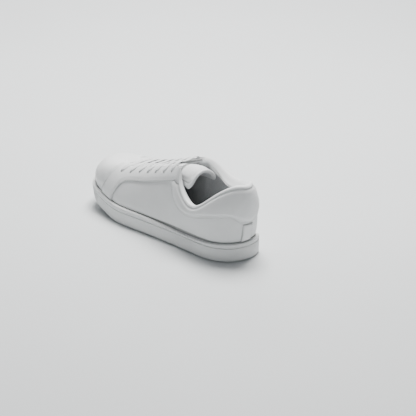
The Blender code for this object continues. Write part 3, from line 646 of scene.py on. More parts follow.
# A line on the upper, moved sideways by so many millimetres along the surface.
def shiftedLine(line, move, samples=120, face=lastFace, smooth=True):
    knots = np.array(line, float)
    t = np.linspace(0, len(knots) - 1, samples)
    if smooth:
        uv = curveThrough(knots)(t)
    else:
        uv = np.stack([np.interp(t, np.arange(len(knots)), knots[:, k]) for k in range(2)], -1)
    if move == 0:
        return uv
    step = 1e-3
    pu = (face(uv[:, 0] + step, uv[:, 1]) - face(uv[:, 0] - step, uv[:, 1])) / (2 * step)
    pv = (face(uv[:, 0], uv[:, 1] + step) - face(uv[:, 0], uv[:, 1] - step)) / (2 * step)
    heading = np.gradient(uv, axis=0)
    along = pu * heading[:, :1] + pv * heading[:, 1:]
    sideways = np.cross(unit(along), unit(np.cross(pv, pu))) * move
    out = uv.copy()
    for i in range(len(uv)):
        jacobian = np.stack([pu[i], pv[i]], -1)
        out[i] += np.linalg.lstsq(jacobian, sideways[i], rcond=None)[0]
    return out


def lineOn(line, distance, push=None):
    push = push or onUpper
    return push(line[:, 0], line[:, 1], distance)


stitch = {"length": 2.5, "gap": 0.75, "thick": 0.46, "sunk": 0.12, "sides": 6}


# Rows of lock stitches: each one is a small thread capsule that dips into the leather at its ends.
def stitchRows(name, rowsOfPoints, body="shoe"):
    points, faces = [], []
    long, thick = stitch["length"], stitch["thick"]
    dip = np.array([-0.42, 0.0, 0.12, 0.0, -0.42])[:, None]
    radius = thick * np.array([0.3, 0.5, 0.52, 0.5, 0.3])
    turn = np.linspace(0, 2 * np.pi, stitch["sides"], endpoint=False)
    for line, normals in rowsOfPoints:
        walked = walkAlong(line)
        for start in np.arange(0.6, walked[-1] - long, long + stitch["gap"]):
            spots = np.linspace(start, start + long, 5)
            centre, up = (np.stack([np.interp(spots, walked, k) for k in rows.T], -1)
                          for rows in (line, normals))
            heading = unit(centre[-1] - centre[0])
            centre = centre + up * (dip * thick - stitch["sunk"] + thick * 0.35)
            across = unit(np.cross(heading, up[2]))
            over = np.cross(across, heading)
            addTube(points, faces, [[c + r * (np.cos(a) * across * 1.15 + np.sin(a) * over) for a in turn]
                                    for c, r in zip(centre, radius)])
    makePiece(name, points, faces, "whiteThread", body)


def stitchLine(line, distance, push=None):
    push = push or onUpper
    on = push(line[:, 0], line[:, 1], distance)
    above = push(line[:, 0], line[:, 1], distance + 1.0)
    return on, above - on


print("mesh helpers ready")

# Seams of the lateral side; the medial side mirrors them
stay = {
    "low": [(4.3, 0.88), (4.73, 0.75), (5.2, 0.68), (5.7, 0.65), (6.5, 0.615), (7.2, 0.59), (7.7, 0.57),
            (8.06, 0.53)],
    "legRear": [(8.06, 0.53), (8.19, 0.45), (8.24, 0.36), (8.27, 0.24), (8.3, 0.13), (8.32, 0.012)],
    "legFront": [(9.1, 0.012), (9.08, 0.2), (9.09, 0.36), (9.2, 0.55), (9.36, 0.73), (9.6, 0.9)],
    "eyeletLine": [(5.65, 0.84), (6.2, 0.81), (7.6, 0.79), (8.1, 0.74), (8.73, 0.69)],
    "eyelets": 7, "frontEyelet": 8.73, "topEyelet": 5.65, "eyeletRadius": 2.3,
}
collarSeam = [
    (0.0, 0.335), (0.4, 0.355), (0.75, 0.41), (1.1, 0.465), (1.66, 0.49), (2.2, 0.55), (2.7, 0.585),
    (3.16, 0.56), (3.6, 0.505), (4.0, 0.49), (4.36, 0.49), (4.62, 0.5), (4.85, 0.525),
    (5.08, 0.572), (5.26, 0.628),
]


def sideHeight(u):
    return 1.12 * (openingLine(u)[..., 2] - sole["rimHeel"])


rollHeight = 5.0


def collarTop(u):
    return 1 - rollHeight / sideHeight(np.asarray(u, float))


def seamV(line, u):
    line = np.array(line)
    return float(np.interp(u, line[:, 0], line[:, 1]))


def quarterTop(u):
    joined = [p for p in collarSeam if p[0] < 5.2] + [p for p in stay["low"] if p[0] > 5.3]
    return seamV(joined, u) + 0.1


def eyeletV(u):
    return seamV(stay["eyeletLine"], u)


def eyeletSpots():
    u = np.linspace(corner, stationCount / 2, 200)
    x = openingLine(u)[:, 0]
    ends = np.interp([stay["frontEyelet"], stay["topEyelet"]], u, x)
    return np.interp(np.linspace(*ends, stay["eyelets"]), x, u)


# Sole

def ringStations(steps):
    u = np.linspace(0, stationCount, 80 * stationCount + 1)
    x = soleLine(u)[:, 0]
    toe = int(np.argmax(x))
    quarter = len(x) // 4
    heel = int(np.argmin(x[:quarter]))
    near = slice(heel, toe + 1)
    far = slice(toe, len(x))
    spots = x.min() + (x.max() - x.min()) * (0.5 - 0.5 * np.cos(np.linspace(0, np.pi, steps + 1)))
    lateral = np.interp(spots, x[near], u[near])
    medial = np.interp(spots[1:-1][::-1], x[far][::-1], u[far][::-1])
    return np.concatenate([lateral, medial])


soleSteps = 130
soleRing = ringStations(soleSteps)


def soleSection(inset, height):
    edge = soleLine(soleRing)
    x = edge[:, 0]
    inward = inset(x) if callable(inset) else inset
    above = height(x) if callable(height) else height
    spot = edge - outwards(soleRing) * np.broadcast_to(inward, x.shape)[:, None]
    return np.column_stack([spot, treadLift(x) + above])


def stackedRings(name, rings, finish, sharp=0.9, wear=None):
    count = len(soleRing)
    faces = []
    for level in range(len(rings) - 1):
        a, b = level * count, (level + 1) * count
        faces += [(a + j, a + (j + 1) % count, b + (j + 1) % count, b + j) for j in range(count)]
    for a in (0, (len(rings) - 1) * count):
        for j in range(soleSteps):
            quad = [j, j + 1, (count - j - 1) % count, (count - j) % count]
            faces.append(tuple(a + q for q in dict.fromkeys(quad)))
    return makePiece(name, np.concatenate(rings), faces, finish, "shoe", wear, sharp)


treadDeep = 1.2


def undercutAt(x):
    return sole["undercut"] * (treadLift(x) / sole["toeSpring"]) ** 0.6


# The side wall between the tread's edge and the groove: how far in and how high it is at a share of the way.
def wallInset(x, share):
    return undercutAt(x) * (1 - 0.8 * share) - sole["belly"] * math.sin(math.pi * share)


def wallHeight(x, share):
    low = treadDeep + sole["edgeRound"]
    return low + (rimHeight(x) - sole["band"] - sole["groove"] - low) * share


def buildSole():
    band, groove, deep = sole["band"], sole["groove"], sole["grooveDeep"]

    def level(below):
        return lambda x: rimHeight(x) - below

    # the rim dips under the arch, and the groove below it doesn't
    def rimLevel(below):
        def height(x):
            dip = sole["rimDip"] * np.exp(-(((x - sole["dipAt"]) / sole["dipReach"]) ** 2))
            return rimHeight(x) - dip - below * (1 - dip / band)
        return height

    rings = [soleSection(lambda x: undercutAt(x) + 2.6, treadDeep)]
    edge, lip, rim, inside = (sole[key] for key in ("edgeRound", "lip", "rimRound", "innerRound"))
    for angle in np.linspace(0, math.pi / 2, 6)[1:]:
        cut, rise = edge * (1 - math.sin(angle)), edge * (1 - math.cos(angle))
        rings.append(soleSection(lambda x, c=cut: undercutAt(x) + c, treadDeep + rise))
    for share in np.linspace(0, 1, 9)[1:-1]:
        rings.append(soleSection(lambda x, s=share: wallInset(x, s), lambda x, s=share: wallHeight(x, s)))
    # the fine groove under the rim band
    for down, inward in ((1.0, 0.0), (0.85, 0.55), (0.6, 1.0), (0.35, 1.0), (0.12, 0.5)):
        rings.append(soleSection(deep * inward, level(band + groove * down)))
    rings.append(soleSection(-0.1, level(band - 0.1)))
    for below in (band - 0.6, band - 1.6, band - 3.0, rim):
        rings.append(soleSection(-lip, rimLevel(below)))
    for angle in np.linspace(0, math.pi / 2, 5)[1:]:
        rings.append(soleSection(-lip + rim * (1 - math.cos(angle)), rimLevel(rim * (1 - math.sin(angle)))))
    rings.append(soleSection(2.4, rimLevel(0.0)))
    for angle in np.linspace(0, math.pi / 2, 4)[1:]:
        inset = sole["wall"] - inside * (1 - math.sin(angle))
        rings.append(soleSection(inset, rimLevel(inside * (1 - math.cos(angle)))))
    rings.append(soleSection(sole["wall"], lambda x: rimHeight(x) - 4.0))
    rings.append(soleSection(sole["wall"], sole["floor"]))
    count = len(soleRing)
    # painted shade: the bottom rings by the floor are darkened through the mask
    wear = np.zeros(len(rings) * count)
    wear[:3 * count] = sole["rubbed"]
    cup = stackedRings("soleCup", rings, "soleRubber", 0.8, wear)
    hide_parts("cupsole")


tread = {"pitch": 5.4, "bar": 3.3, "zig": 3.2, "wave": 9.0, "inset": 3.2}


# Herringbone bars under the sole, each clipped to the outline.
def buildTread():
    u = np.linspace(0, stationCount, 1200)
    edge = soleLine(u)
    edge = edge - outwards(u) * (tread["inset"] + undercutAt(edge[:, 0]))[:, None]
    points, faces = [], []
    x = edge[:, 0].min() + 3.0
    while x < edge[:, 0].max() - 2.0:
        near = np.abs(edge[:, 0] - x) < 4.0
        if near.any():
            low = edge[near & (edge[:, 1] < -2), 1]
            high = edge[near & (edge[:, 1] > -2), 1]
            if len(low) and len(high):
                y = np.arange(low.max(), high.min(), tread["wave"] / 6)
                if len(y) > 4:
                    addTreadBar(points, faces, x, y)
        x += tread["pitch"]
    makePiece("treadBars", points, faces, "treadRubber", "shoe", None, 0.6)


def addTreadBar(points, faces, x, y):
    phase = np.mod(y / tread["wave"], 1.0)
    zig = (np.abs(phase - 0.5) * 4 - 1) * tread["zig"] / 2
    half = [(0.25, treadDeep + 0.8), (0.0, 0.35), (0.3, 0.0)]
    rows = [(-0.5, *row) for row in half] + [(0.5, -trim, height) for trim, height in half[::-1]]
    rings = []
    for yy, zz in zip(y, zig):
        spots = [(x + zz + side * tread["bar"] + trim, height) for side, trim, height in rows]
        rings.append([(px, yy, float(treadLift(px)) + height) for px, height in spots])
    addTube(points, faces, rings)


toeGrip = {"from": 9.3, "to": 12.75, "pitch": 2.3, "rise": 0.45, "rows": (0.2, 0.33, 0.46, 0.59, 0.72, 0.85)}


# Moulded grip pips on the toe's side wall.
def buildToeGrip():
    u = np.linspace(toeGrip["from"], toeGrip["to"], 600)
    edge = soleLine(u)
    walked = walkAlong(edge)
    points, faces = [], []
    up = np.array((0.0, 0.0, 1.0))
    turns = [k * math.pi / 3 for k in range(6)]
    for index, share in enumerate(toeGrip["rows"]):
        shift = 0.5 * toeGrip["pitch"] * (index % 2)
        for at in np.arange(1.0 + shift, walked[-1] - 1.0, toeGrip["pitch"]):
            where = np.interp(at, walked, u)
            spot, out = soleLine(np.array(where)), outwards(np.array(where))
            z = float(treadLift(spot[0])) + wallHeight(spot[0], share)
            centre = np.array((*(spot - out * float(wallInset(spot[0], share))), z))
            side, normal = np.array((-out[1], out[0], 0.0)), np.array((*out, 0.0))
            sizes = ((0.95, -0.2), (0.85, toeGrip["rise"] * 0.6), (0.4, toeGrip["rise"]))
            addTube(points, faces, [[centre + size * (math.cos(a) * side + math.sin(a) * up) + normal * rise
                                     for a in turns] for size, rise in sizes])
    makePiece("toeGrip", points, faces, "soleRubber", "shoe", None, 1.2)


def buildFootbed():
    inset = sole["wall"] + layers["wallGap"] + layers["lining"] - liningOut + layers["wallGap"] + 0.2

    def underAt(x):
        return rimHeight(x) - sole["feather"] + 1.6 + 0.35

    def topAt(rise):
        return lambda x: underAt(x) + 4.3 - 1.5 * (x + drawnOrigin) / sole["length"] + rise

    rings = [soleSection(inset + 0.6, underAt), soleSection(inset, lambda x: underAt(x) + 0.5)]
    for cut, rise in ((0.0, 0.4), (0.3, 0.9), (1.0, 1.1), (2.5, 0.8), (5.0, 0.25), (8.0, 0.0), (13.0, -0.1)):
        rings.append(soleSection(inset + cut, topAt(rise)))
    # dark footbed cloth: painted shade inside the shoe
    bed = stackedRings("footbed", rings, "footbedCloth")
    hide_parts("sockliner")


buildSole()
buildTread()
buildToeGrip()
buildFootbed()
print("sole built")


# Upper

def buildQuarters():
    stations = [0.012, 0.35, 0.75, 1.2, 1.66, 2.2, 2.7, 3.2, 3.7, 4.2, 4.7, 5.2, 5.7, 6.2, 6.8, 7.4, 7.9, 8.3]
    run = [((u, quarterTop(u)), (u, 0.0)) for u in stations]
    end = [run[-1], ((8.98, 0.6), (8.68, 0.0))]
    for side in ("lateral", "medial"):
        quarter = panel(side + "QuarterPanel", sideRuns([run, end], side), "quarterLeather", 0.0,
                        -layers["leather"], spacing=2.4, rows=22, foot=True, puff=0.25, ripple=0.22)
        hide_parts(side + "_quarter")


vampBulge = {"most": 1.4, "from": 2.4, "full": 0.9}


def toeShare(u):
    return 1 - smoothStep(np.abs(u - stationCount / 2), vampBulge["full"], vampBulge["from"])


def buildVamp():
    rear = ((9.3, 1.0), (8.76, 0.0))
    half = [rear, ((9.75, 1.0), (9.4, 0.0)), ((10.35, 1.0), (10.2, 0.0)), ((11.0, 1.0), (11.0, 0.0))]
    run = half + mirrored([half[:-1][::-1]])[0]

    def outer(a, b):
        return vampBulge["most"] * smoothStep(b, 0.0, 0.22) * (1 - smoothStep(b, 0.45, 0.9)) * toeShare(a)

    vamp = panel("vampPanel", [run], "vampLeather", outer, -layers["leather"], spacing=1.8, rows=34,
                 foot=True, ripple=0.25)
    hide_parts("vamp")


# Each eyelet's ends at two depths, with the directions along its axis and across it.
def eyeletFrames(side, outer, inner):
    for spot in eyeletSpots():
        u = spot if side == "lateral" else stationCount - spot
        ends = [onUpper(u, eyeletV(spot), depth) for depth in (outer, inner)]
        axis = unit(ends[0] - ends[1])
        across = unit(np.cross(axis, (1.0, 0.0, 0.0)))
        yield ends, axis, across, np.cross(axis, across)


def cutEyelets(pieces, side):
    points, faces = [], []
    turn = np.linspace(0, 2 * np.pi, 20, endpoint=False)
    for ends, axis, across, along in eyeletFrames(side, overlayOut + 3.0, liningIn - 3.0):
        ring = [stay["eyeletRadius"] * (np.cos(a) * across + np.sin(a) * along) for a in turn]
        addTube(points, faces, [[end + r for r in ring] for end in ends])
    punch = bpy.data.objects.new("punch", meshOf("punch", points, faces))
    bpy.context.scene.collection.objects.link(punch)
    for piece in pieces:
        cut = piece.modifiers.new("eyelets", "BOOLEAN")
        cut.operation = "DIFFERENCE"
        cut.solver = "EXACT"
        cut.object = punch
        applyModifiers(piece)
    bpy.data.objects.remove(punch)


def applyModifiers(piece):
    bpy.context.view_layer.update()
    seen = piece.evaluated_get(bpy.context.evaluated_depsgraph_get())
    mesh = bpy.data.meshes.new_from_object(seen)
    piece.modifiers.clear()
    old = piece.data
    piece.data = mesh
    bpy.data.meshes.remove(old)
    mesh.name = piece.name


# A turned ring pressed into the leather round each hole.
def buildEyeletRims(side):
    points, faces = [], []
    for ends, axis, across, along in eyeletFrames(side, overlayOut + 1.0, overlayOut - 0.1):
        rings = []
        for a in np.linspace(0, 2 * np.pi, 20, endpoint=False):
            out = np.cos(a) * across + np.sin(a) * along
            rings.append([
                ends[1] + out * (stay["eyeletRadius"] + 0.16 + 0.3 * np.cos(b)) + axis * 0.22 * np.sin(b)
                for b in np.linspace(0, 2 * np.pi, 8, endpoint=False)])
        addTube(points, faces, rings, closed=True)
    makePiece(side + "EyeletRims", points, faces, "stayLeather")


def buildEyestays():
    low = stay["low"]
    top = [(u, float(collarTop(u))) for u in (4.42, 4.72, 4.97)]
    top += [(u, 1.0) for u in (5.3, 6.3, 7.1, 7.7, 8.12)]
    rearTop = [(u, 1.0) for u in (8.12, 8.3, 8.45, 8.6, 8.72, 8.84)]
    frontTop = [(u, 1.0) for u in (9.05, 9.14, 9.22, 9.4, 9.58, 9.75)]
    runs = [list(zip(top[:3], low[:3])), [(top[2], low[2]), (top[3], low[3])], list(zip(top[3:], low[3:]))]
    runs += [list(zip(rearTop, stay["legRear"]))]
    runs += [[(rearTop[-1], stay["legRear"][-1]), (frontTop[0], stay["legFront"][0])]]
    runs += [list(zip(frontTop, stay["legFront"]))]
    for side in ("lateral", "medial"):
        flip = 1 if side == "lateral" else -1
        place = (lambda line: line) if side == "lateral" else mirroredLine
        rows = []
        for line, moves in ((low + stay["legRear"][1:], (1.9, 4.1)), (stay["legFront"], (-1.9, -4.1))):
            for move in moves:
                rows.append(shiftedLine(place(line), flip * move, 260))
        throat = [(5.12, 0.985), (5.8, 0.97), (6.6, 0.965), (7.4, 0.96), (8.2, 0.955), (9.0, 0.95)]
        rows.append(shiftedLine(place(throat), 0, 160))
        eyestay = panel(side + "Eyestay", sideRuns(runs, side), "stayLeather", overlayOut, overlayIn,
                        spacing=1.6, seams=[lineOn(row, overlayOut) for row in rows], ripple=0.1, puff=0.2,
                        roundness=0.8)
        rear = [((u, float(collarTop(u))), (u, 0.0)) for u in (4.66, 4.86, 4.99)]
        front = [((u, 0.975), (u, 0.0)) for u in (5.1, 5.6, 6.3, 7.0, 7.7, 8.2)]
        front += [((9.25, 0.975), (8.71, 0.0))]
        lining = panel(side + "SideLining", sideRuns([rear, [rear[-1], front[0]], front], side), "liningKnit",
                       lambda a, b: liningOut - paddingAt(a, b), lambda a, b: liningIn - paddingAt(a, b),
                       spacing=2.6, rows=18, foot=True, ripple=0.3, roundness=0.3)
        cutEyelets([eyestay, lining], side)
        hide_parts(side + "_eyestay")
        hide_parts(side + "_quarter_lining")
        buildEyeletRims(side)
        stitchRows(side + "StayStitches", [stitchLine(row, overlayOut) for row in rows])


buildQuarters()
buildVamp()
buildEyestays()
print("quarters, vamp and eyestays sewn")


# Collar

collarPuff = {"outer": 1.6, "medial": 6.5, "lateral": 2.6, "heel": 2.4, "rollDepth": 0.76, "thick": 1.1}


# How far the padded roll swells in over the foot at a station, negative ones on the medial side.
def rollSwell(u):
    medial = smoothStep(-u, 0.5, 1.9) * (1 - 0.8 * smoothStep(-u, 2.9, 3.9))
    lateral = smoothStep(u, 0.5, 1.9) * (1 - smoothStep(u, 3.4, 4.5))
    back = 1 - smoothStep(np.abs(u), 0.5, 1.9)
    return collarPuff["medial"] * medial + collarPuff["lateral"] * lateral + collarPuff["heel"] * back


def heelRun(half):
    return half[::-1] + [tuple((-u, v) for u, v in pair) for pair in half[1:]]


def buildCollar():
    stations = [0.0, 0.4, 0.75, 1.1, 1.66, 2.2, 2.7, 3.16, 3.6, 4.0]
    half = [((u, float(collarTop(u))), (u, seamV(collarSeam, u))) for u in stations]
    edge = shiftedLine(stay["low"][:4], -0.3, 90)
    half += [((4.22, float(collarTop(4.22)) - 0.012), (4.36, 0.49))]
    half += [(tuple(edge[np.argmin(abs(edge[:, 0] - u))]), low) for u, low in
             ((4.42, (4.62, 0.5)), (4.7, (4.85, 0.525)), (4.97, (5.08, 0.572)), (5.22, (5.26, 0.628)))]
    seamLine = [(-u, v) for u, v in collarSeam[::-1][:-1]] + collarSeam
    lowRows = [shiftedLine(seamLine, move, 420) for move in (2.0, 4.0)]
    topLine = [(u, float(collarTop(u))) for u in np.linspace(-4.2, 4.2, 31)]
    topRow = shiftedLine(topLine, -1.9, 420)
    seams = [lineOn(row, overlayOut) for row in lowRows + [topRow]]
    band = panel("collarPad", [heelRun(half)], "collarLeather", overlayOut, overlayIn, spacing=1.7, rows=30,
                 puff=collarPuff["outer"], puffReach=6.0, seams=seams, seamDepth=0.5, ripple=0.3,
                 roundness=0.8)
    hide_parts("collar_panel")
    stitchRows("collarStitches", [stitchLine(row, overlayOut + 0.25) for row in lowRows + [topRow]])
    strip = [[((u, 0.325), (u, 0.01)) for u in (-0.31, 0.0, 0.31)]]
    outline = [(-0.26, 0.02), (-0.26, 0.305), (0.26, 0.305), (0.26, 0.02)]
    stitched = shiftedLine(outline, 0, 240, smooth=False)
    label = panel("heelStrip", strip, "stayLeather", overlayOut, overlayIn, spacing=1.0, rows=24,
                  seams=[lineOn(stitched, overlayOut)], ripple=0.05, puff=0.3)
    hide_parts("heel_strip")
    stitchRows("heelStripStitches", [stitchLine(stitched, overlayOut + 0.1)])
    return band


# Rolled top edge: one smooth round over the outer leather, the foam and the inner roll.
def buildTopRoll():
    stations = np.concatenate([np.linspace(-5.22, -4.7, 45), np.linspace(-4.69, 4.985, 330)])
    sections = []
    count = 22
    for u in stations:
        end = min((u + 5.22) / 0.1, (4.985 - u) / 0.06, 1.0)
        full = math.sqrt(max(1 - (1 - end) ** 2, 0.02))
        low = 1 - (1 - float(collarTop(u)) + 0.008) * (0.55 + 0.45 * full)
        outer = overlayOut + 0.6
        inner = float(liningIn - paddingAt(u, 0.97) - rollSwell(u)) - 0.5
        middle = (outer + inner) / 2
        half = (outer - inner) / 2 * (0.3 + 0.7 * full)
        ring = []
        for a in np.linspace(0, math.pi, count - 4):
            ring.append((low + (1 - low) * math.sin(a) ** 0.8, middle + half * math.cos(a)))
        ring += [(low, inner + 0.8), (low + 0.004, inner + half)]
        ring += [(low + 0.004, outer - half), (low, outer - 0.8)]
        vs = np.array([r[0] for r in ring])
        ds = np.array([r[1] for r in ring])
        sections.append(onUpper(np.full(count, u), vs, ds))
    sections = np.array(sections)
    for _ in range(6):
        sections[1:-1] = (sections[:-2] + 2 * sections[1:-1] + sections[2:]) / 4
    points = np.concatenate(sections)
    roll = makePiece("collarRoll", points, sweepFaces(len(sections), count), "bindingLeather", sharp=1.2)
    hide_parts("collar_binding")


# Inner side of the collar: a soft leather roll above, knitted lining below it.
def buildCollarInside():
    def depth(extra):
        return lambda a, b: liningOut - paddingAt(a, b) + extra

    stations = [0.0, 0.3, 0.6, 0.9, 1.2, 1.6, 2.0, 2.35, 2.7, 3.0, 3.3, 3.65, 4.0, 4.3, 4.64]
    low = collarPuff["rollDepth"]
    roll = [((u, float(collarTop(u))), (u, low)) for u in stations]
    # The panel's outward side is the one that shows, so the roll is built from the inside face.
    innerRoll = panel("innerRoll", [heelRun(roll)], "rollLeather", depth(0.0), depth(-collarPuff["thick"]),
                      spacing=2.0, rows=16, ripple=0.0, roundness=0.3)
    swellInside(innerRoll, heelRun(roll), 2.0, 16)
    lining = [((u, low - 0.012), (u, 0.0)) for u in stations]
    heelLining = panel("heelLining", [heelRun(lining)], "liningKnit", depth(0.0), depth(-0.9), spacing=2.2,
                       rows=22, foot=True, ripple=0.25, roundness=0.3)
    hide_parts("heel_lining")
    return innerRoll


# Pushes the hidden-side vertices of a panel towards the foot, so the padding swells inside the shoe.
def swellInside(piece, run, spacing, rows):
    pairs = densePairs(lastFace, [run], spacing)
    share = gradedShare(rows)
    a = pairs[:, 2:3] * (1 - share) + pairs[:, 0:1] * share
    b = pairs[:, 3:4] * (1 - share) + pairs[:, 1:2] * share
    belly = np.sqrt(1 - (1 - np.broadcast_to(share, a.shape)) ** 2)
    swell = (rollSwell(a) + 0.4) * belly
    under = onUpper(a, b, liningOut - paddingAt(a, b) - collarPuff["thick"] - swell)
    count = a.size
    for index, spot in enumerate(under.reshape(-1, 3) * mm):
        piece.data.vertices[count + index].co = spot


collarBand = buildCollar()
buildTopRoll()
innerRoll = buildCollarInside()
plump(collarBand, 0.9)
plump(innerRoll, 0.8, inside=True)
print("collar padded")


# Tongue

tongue = {"top": 5.2, "root": 3.2, "binding": 2.4, "crown": 0.9, "rim": 0.8,
          "cornerReach": 0.42, "cornerIn": 0.22, "step": 19.0}


def tongueThick(s):
    share = np.clip(np.asarray(s, float) / tongueEnd, 0, 1)
    return tongue["root"] + (tongue["top"] - tongue["root"]) * share


# How much of its width the tongue keeps at a station, less where its tip's corners round off.
def tipShare(s, end):
    t = np.clip((np.asarray(s, float) - end + tongue["cornerReach"]) / tongue["cornerReach"], 0, 1)
    return 1 - tongue["cornerIn"] * (1 - np.sqrt(1 - t**2))


tongueInset = tongue["binding"] + 0.2
tongueInnerEnd = tongueEnd - tongueInset / tongue["step"]


def tongueInnerW(s):
    straight = 1 - tongueInset / tongueLine(np.asarray(s, float))[..., 2]
    return straight * tipShare(s, tongueInnerEnd)


def buildTongue():
    lastS = tongueInnerEnd
    reach = tongue["cornerReach"]
    stops = np.linspace(0.0, lastS - reach, 12)
    stops = np.concatenate([stops, lastS - reach + reach * np.sin(np.linspace(0, math.pi / 2, 9))[1:]])
    run = [((s, float(tongueInnerW(s))), (s, -float(tongueInnerW(s)))) for s in stops]
    front = shiftedLine([(lastS - 0.12, w) for w in np.linspace(-0.66, 0.66, 9)], 0, 160, tongueFaceAt)
    edge = [(s, float(tongueInnerW(s)) - 0.07) for s in np.linspace(2.6, lastS - 0.2, 14)]
    sides = [shiftedLine([(s, sign * w) for s, w in edge], 0, 240, tongueFaceAt) for sign in (1, -1)]
    lines = [front] + sides
    seams = [lineOn(line, 0.0, onTongue) for line in lines]
    facePiece = panel("tonguePad", [run], "tongueLeather", 0.0, lambda a, b: -tongueThick(a) * 0.55,
                      spacing=2.0, rows=36, puff=tongue["crown"], puffReach=6.0, seams=seams,
                      seamDepth=0.5, ripple=0.25, face=tongueFaceAt, push=onTongue, body="tongue",
                      rowEnds=0.25)
    lining = panel("tongueLining", [run], "tongueKnit", lambda a, b: -tongueThick(a) * 0.55 - 0.15,
                   lambda a, b: -tongueThick(a), spacing=2.2, rows=30, ripple=0.2, face=tongueFaceAt,
                   push=onTongue, body="tongue", rowEnds=0.25)
    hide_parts("tongue_face", "tongue_foam")
    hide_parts("tongue_lining")
    stitchRows("tongueStitches", [stitchLine(line, 0.35, onTongue) for line in lines], "tongue")
    buildTongueEdge(lastS)
    return facePiece


# Rolled edge round the tongue: a rounded strip up one side, over the tip and down the other.
def buildTongueEdge(lastS):
    reach, cut = tongue["cornerReach"], tongue["cornerIn"]
    path = [(s, 1.0, s, float(tongueInnerW(s)) + 0.008) for s in np.linspace(0.0, lastS - reach, 80)]
    straight = float(tongueInnerW(lastS - reach)) + 0.008
    for a in np.linspace(0, math.pi / 2, 28)[1:]:
        outerS = tongueEnd - reach + reach * math.sin(a)
        innerS = lastS - reach + reach * math.sin(a)
        fall = cut * (1 - math.cos(a))
        path.append((outerS, 1.0 - fall, innerS, straight * (1 - fall)))
    half = len(path)
    path += [(tongueEnd, w, lastS, w * path[-1][3] / path[-1][1])
             for w in np.linspace(path[-1][1], -path[-1][1], 50)[1:-1]]
    path += [(so, -wo, si, -wi) for so, wo, si, wi in path[:half][::-1]]
    sections = []
    count = 16
    for so, wo, si, wi in path:
        thick = float(tongueThick(so)) * tongue["rim"]
        ring = []
        for a in np.linspace(-math.pi / 2, math.pi / 2, count - 4):
            share = math.cos(a) ** 0.8
            depth = -thick / 2 + (thick / 2 + 0.35) * math.sin(a)
            ring.append((si + (so - si) * share, wi + (wo - wi) * share, depth))
        ring += [(si, wi, -0.6), (si, wi, -thick * 0.35), (si, wi, -thick * 0.65), (si, wi, -thick + 0.6)]
        ring = np.array(ring)
        sections.append(onTongue(ring[:, 0], ring[:, 1], ring[:, 2]))
    edge = makePiece("tongueEdge", np.concatenate(sections), sweepFaces(len(sections), count),
                     "bindingLeather", "tongue", sharp=1.2)
    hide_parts("tongue_binding")


tonguePad = buildTongue()
plump(tonguePad, 1.2)
print("tongue built")


# Lace

lace = {"width": 7.0, "thick": 1.2, "coreWidth": 2.8, "coreThick": 1.6}
laceOver = overlayOut + lace["thick"] / 2 + 0.3
laceUnder = -(layers["lining"] - liningOut + lace["coreThick"] / 2 + 1.2)


def laceRoute():
    flat = (lace["width"] / 2, lace["thick"] / 2)
    core = (lace["coreWidth"] / 2, lace["coreThick"] / 2)

    def spot(side, u, v, distance):
        return onUpper(u if side > 0 else stationCount - u, v, distance)

    def along(side, u):
        return unit(spot(side, u - 0.05, eyeletV(u), 0.0) - spot(side, u + 0.05, eyeletV(u), 0.0))

    def across(side, u):
        return unit(spot(side, u, eyeletV(u) + 0.03, 0.0) - spot(side, u, eyeletV(u), 0.0))

    def hole(side, u, upward):
        v = eyeletV(u)
        steps = [
            (spot(side, u, v, laceUnder + 0.3), across(side, u), core),
            (spot(side, u, v, -1.8), across(side, u) + along(side, u), core),
            (spot(side, u, v + 0.012, 0.9), along(side, u), core),
            (spot(side, u, v + 0.035, overlayOut + 0.45), along(side, u), (core[0] + 0.5, core[1])),
        ]
        return steps if upward else steps[::-1]

    def bar(side, u):
        edges = [spot(s, u, 1.0, laceOver) for s in (side, -side)]
        crown = (edges[0] + edges[1]) / 2 + np.array((0.0, 0.0, 0.6))
        width = along(side, u)
        start = [(spot(side, u, v, laceOver), width, flat) for v in (eyeletV(u) + 0.09, 0.95)]
        end = [(spot(-side, u, v, laceOver), width, flat) for v in (0.95, eyeletV(u) + 0.09)]
        return start + [(p, width, flat) for p in (edges[0], crown, edges[1])] + end

    def tail(side, points):
        wide = (core[0] + 0.5, core[1])
        depth = np.linspace(laceUnder - 3.0, laceUnder, len(points))
        width = across(side, stay["topEyelet"])
        return [(spot(side, u, v, d), width, wide) for (u, v), d in zip(points, depth)]

    route = tail(-1, [(7.1, 0.4), (7.6, 0.41), (8.1, 0.45), (8.5, 0.52), (8.7, 0.6)])
    side = -1
    spots = eyeletSpots()
    for index, u in enumerate(spots):
        route += hole(side, u, True) + bar(side, u) + hole(-side, u, False)
        side = -side
        if index < len(spots) - 1:
            ahead = spots[index + 1]
            for share in (0.3, 0.7):
                middle = u + (ahead - u) * share
                route.append((spot(side, middle, eyeletV(middle), laceUnder), across(side, middle), core))
    route += tail(side, [(6.9, 0.43), (6.4, 0.47), (6.0, 0.54), (5.75, 0.64), (5.66, 0.74)])[::-1]
    return route


def chordCurve(points, step):
    walked = walkAlong(points)
    slopes = np.diff(points, axis=0) / np.diff(walked)[:, None]
    tangents = np.empty_like(points)
    tangents[0], tangents[-1] = slopes[0], slopes[-1]
    spans = np.diff(walked)
    mixed = slopes[:-1] * spans[1:, None] + slopes[1:] * spans[:-1, None]
    tangents[1:-1] = mixed / (spans[1:] + spans[:-1])[:, None]
    spots = np.linspace(0, walked[-1], int(walked[-1] / step) + 1)
    i = np.clip(np.searchsorted(walked, spots, side="right") - 1, 0, len(points) - 2)
    h = (walked[i + 1] - walked[i])[:, None]
    t = (spots - walked[i])[:, None] / h
    curve = ((2 * t**3 - 3 * t**2 + 1) * points[i] + (t**3 - 2 * t**2 + t) * h * tangents[i]
             + (-2 * t**3 + 3 * t**2) * points[i + 1] + (t**3 - t**2) * h * tangents[i + 1])
    return spots, walked, curve


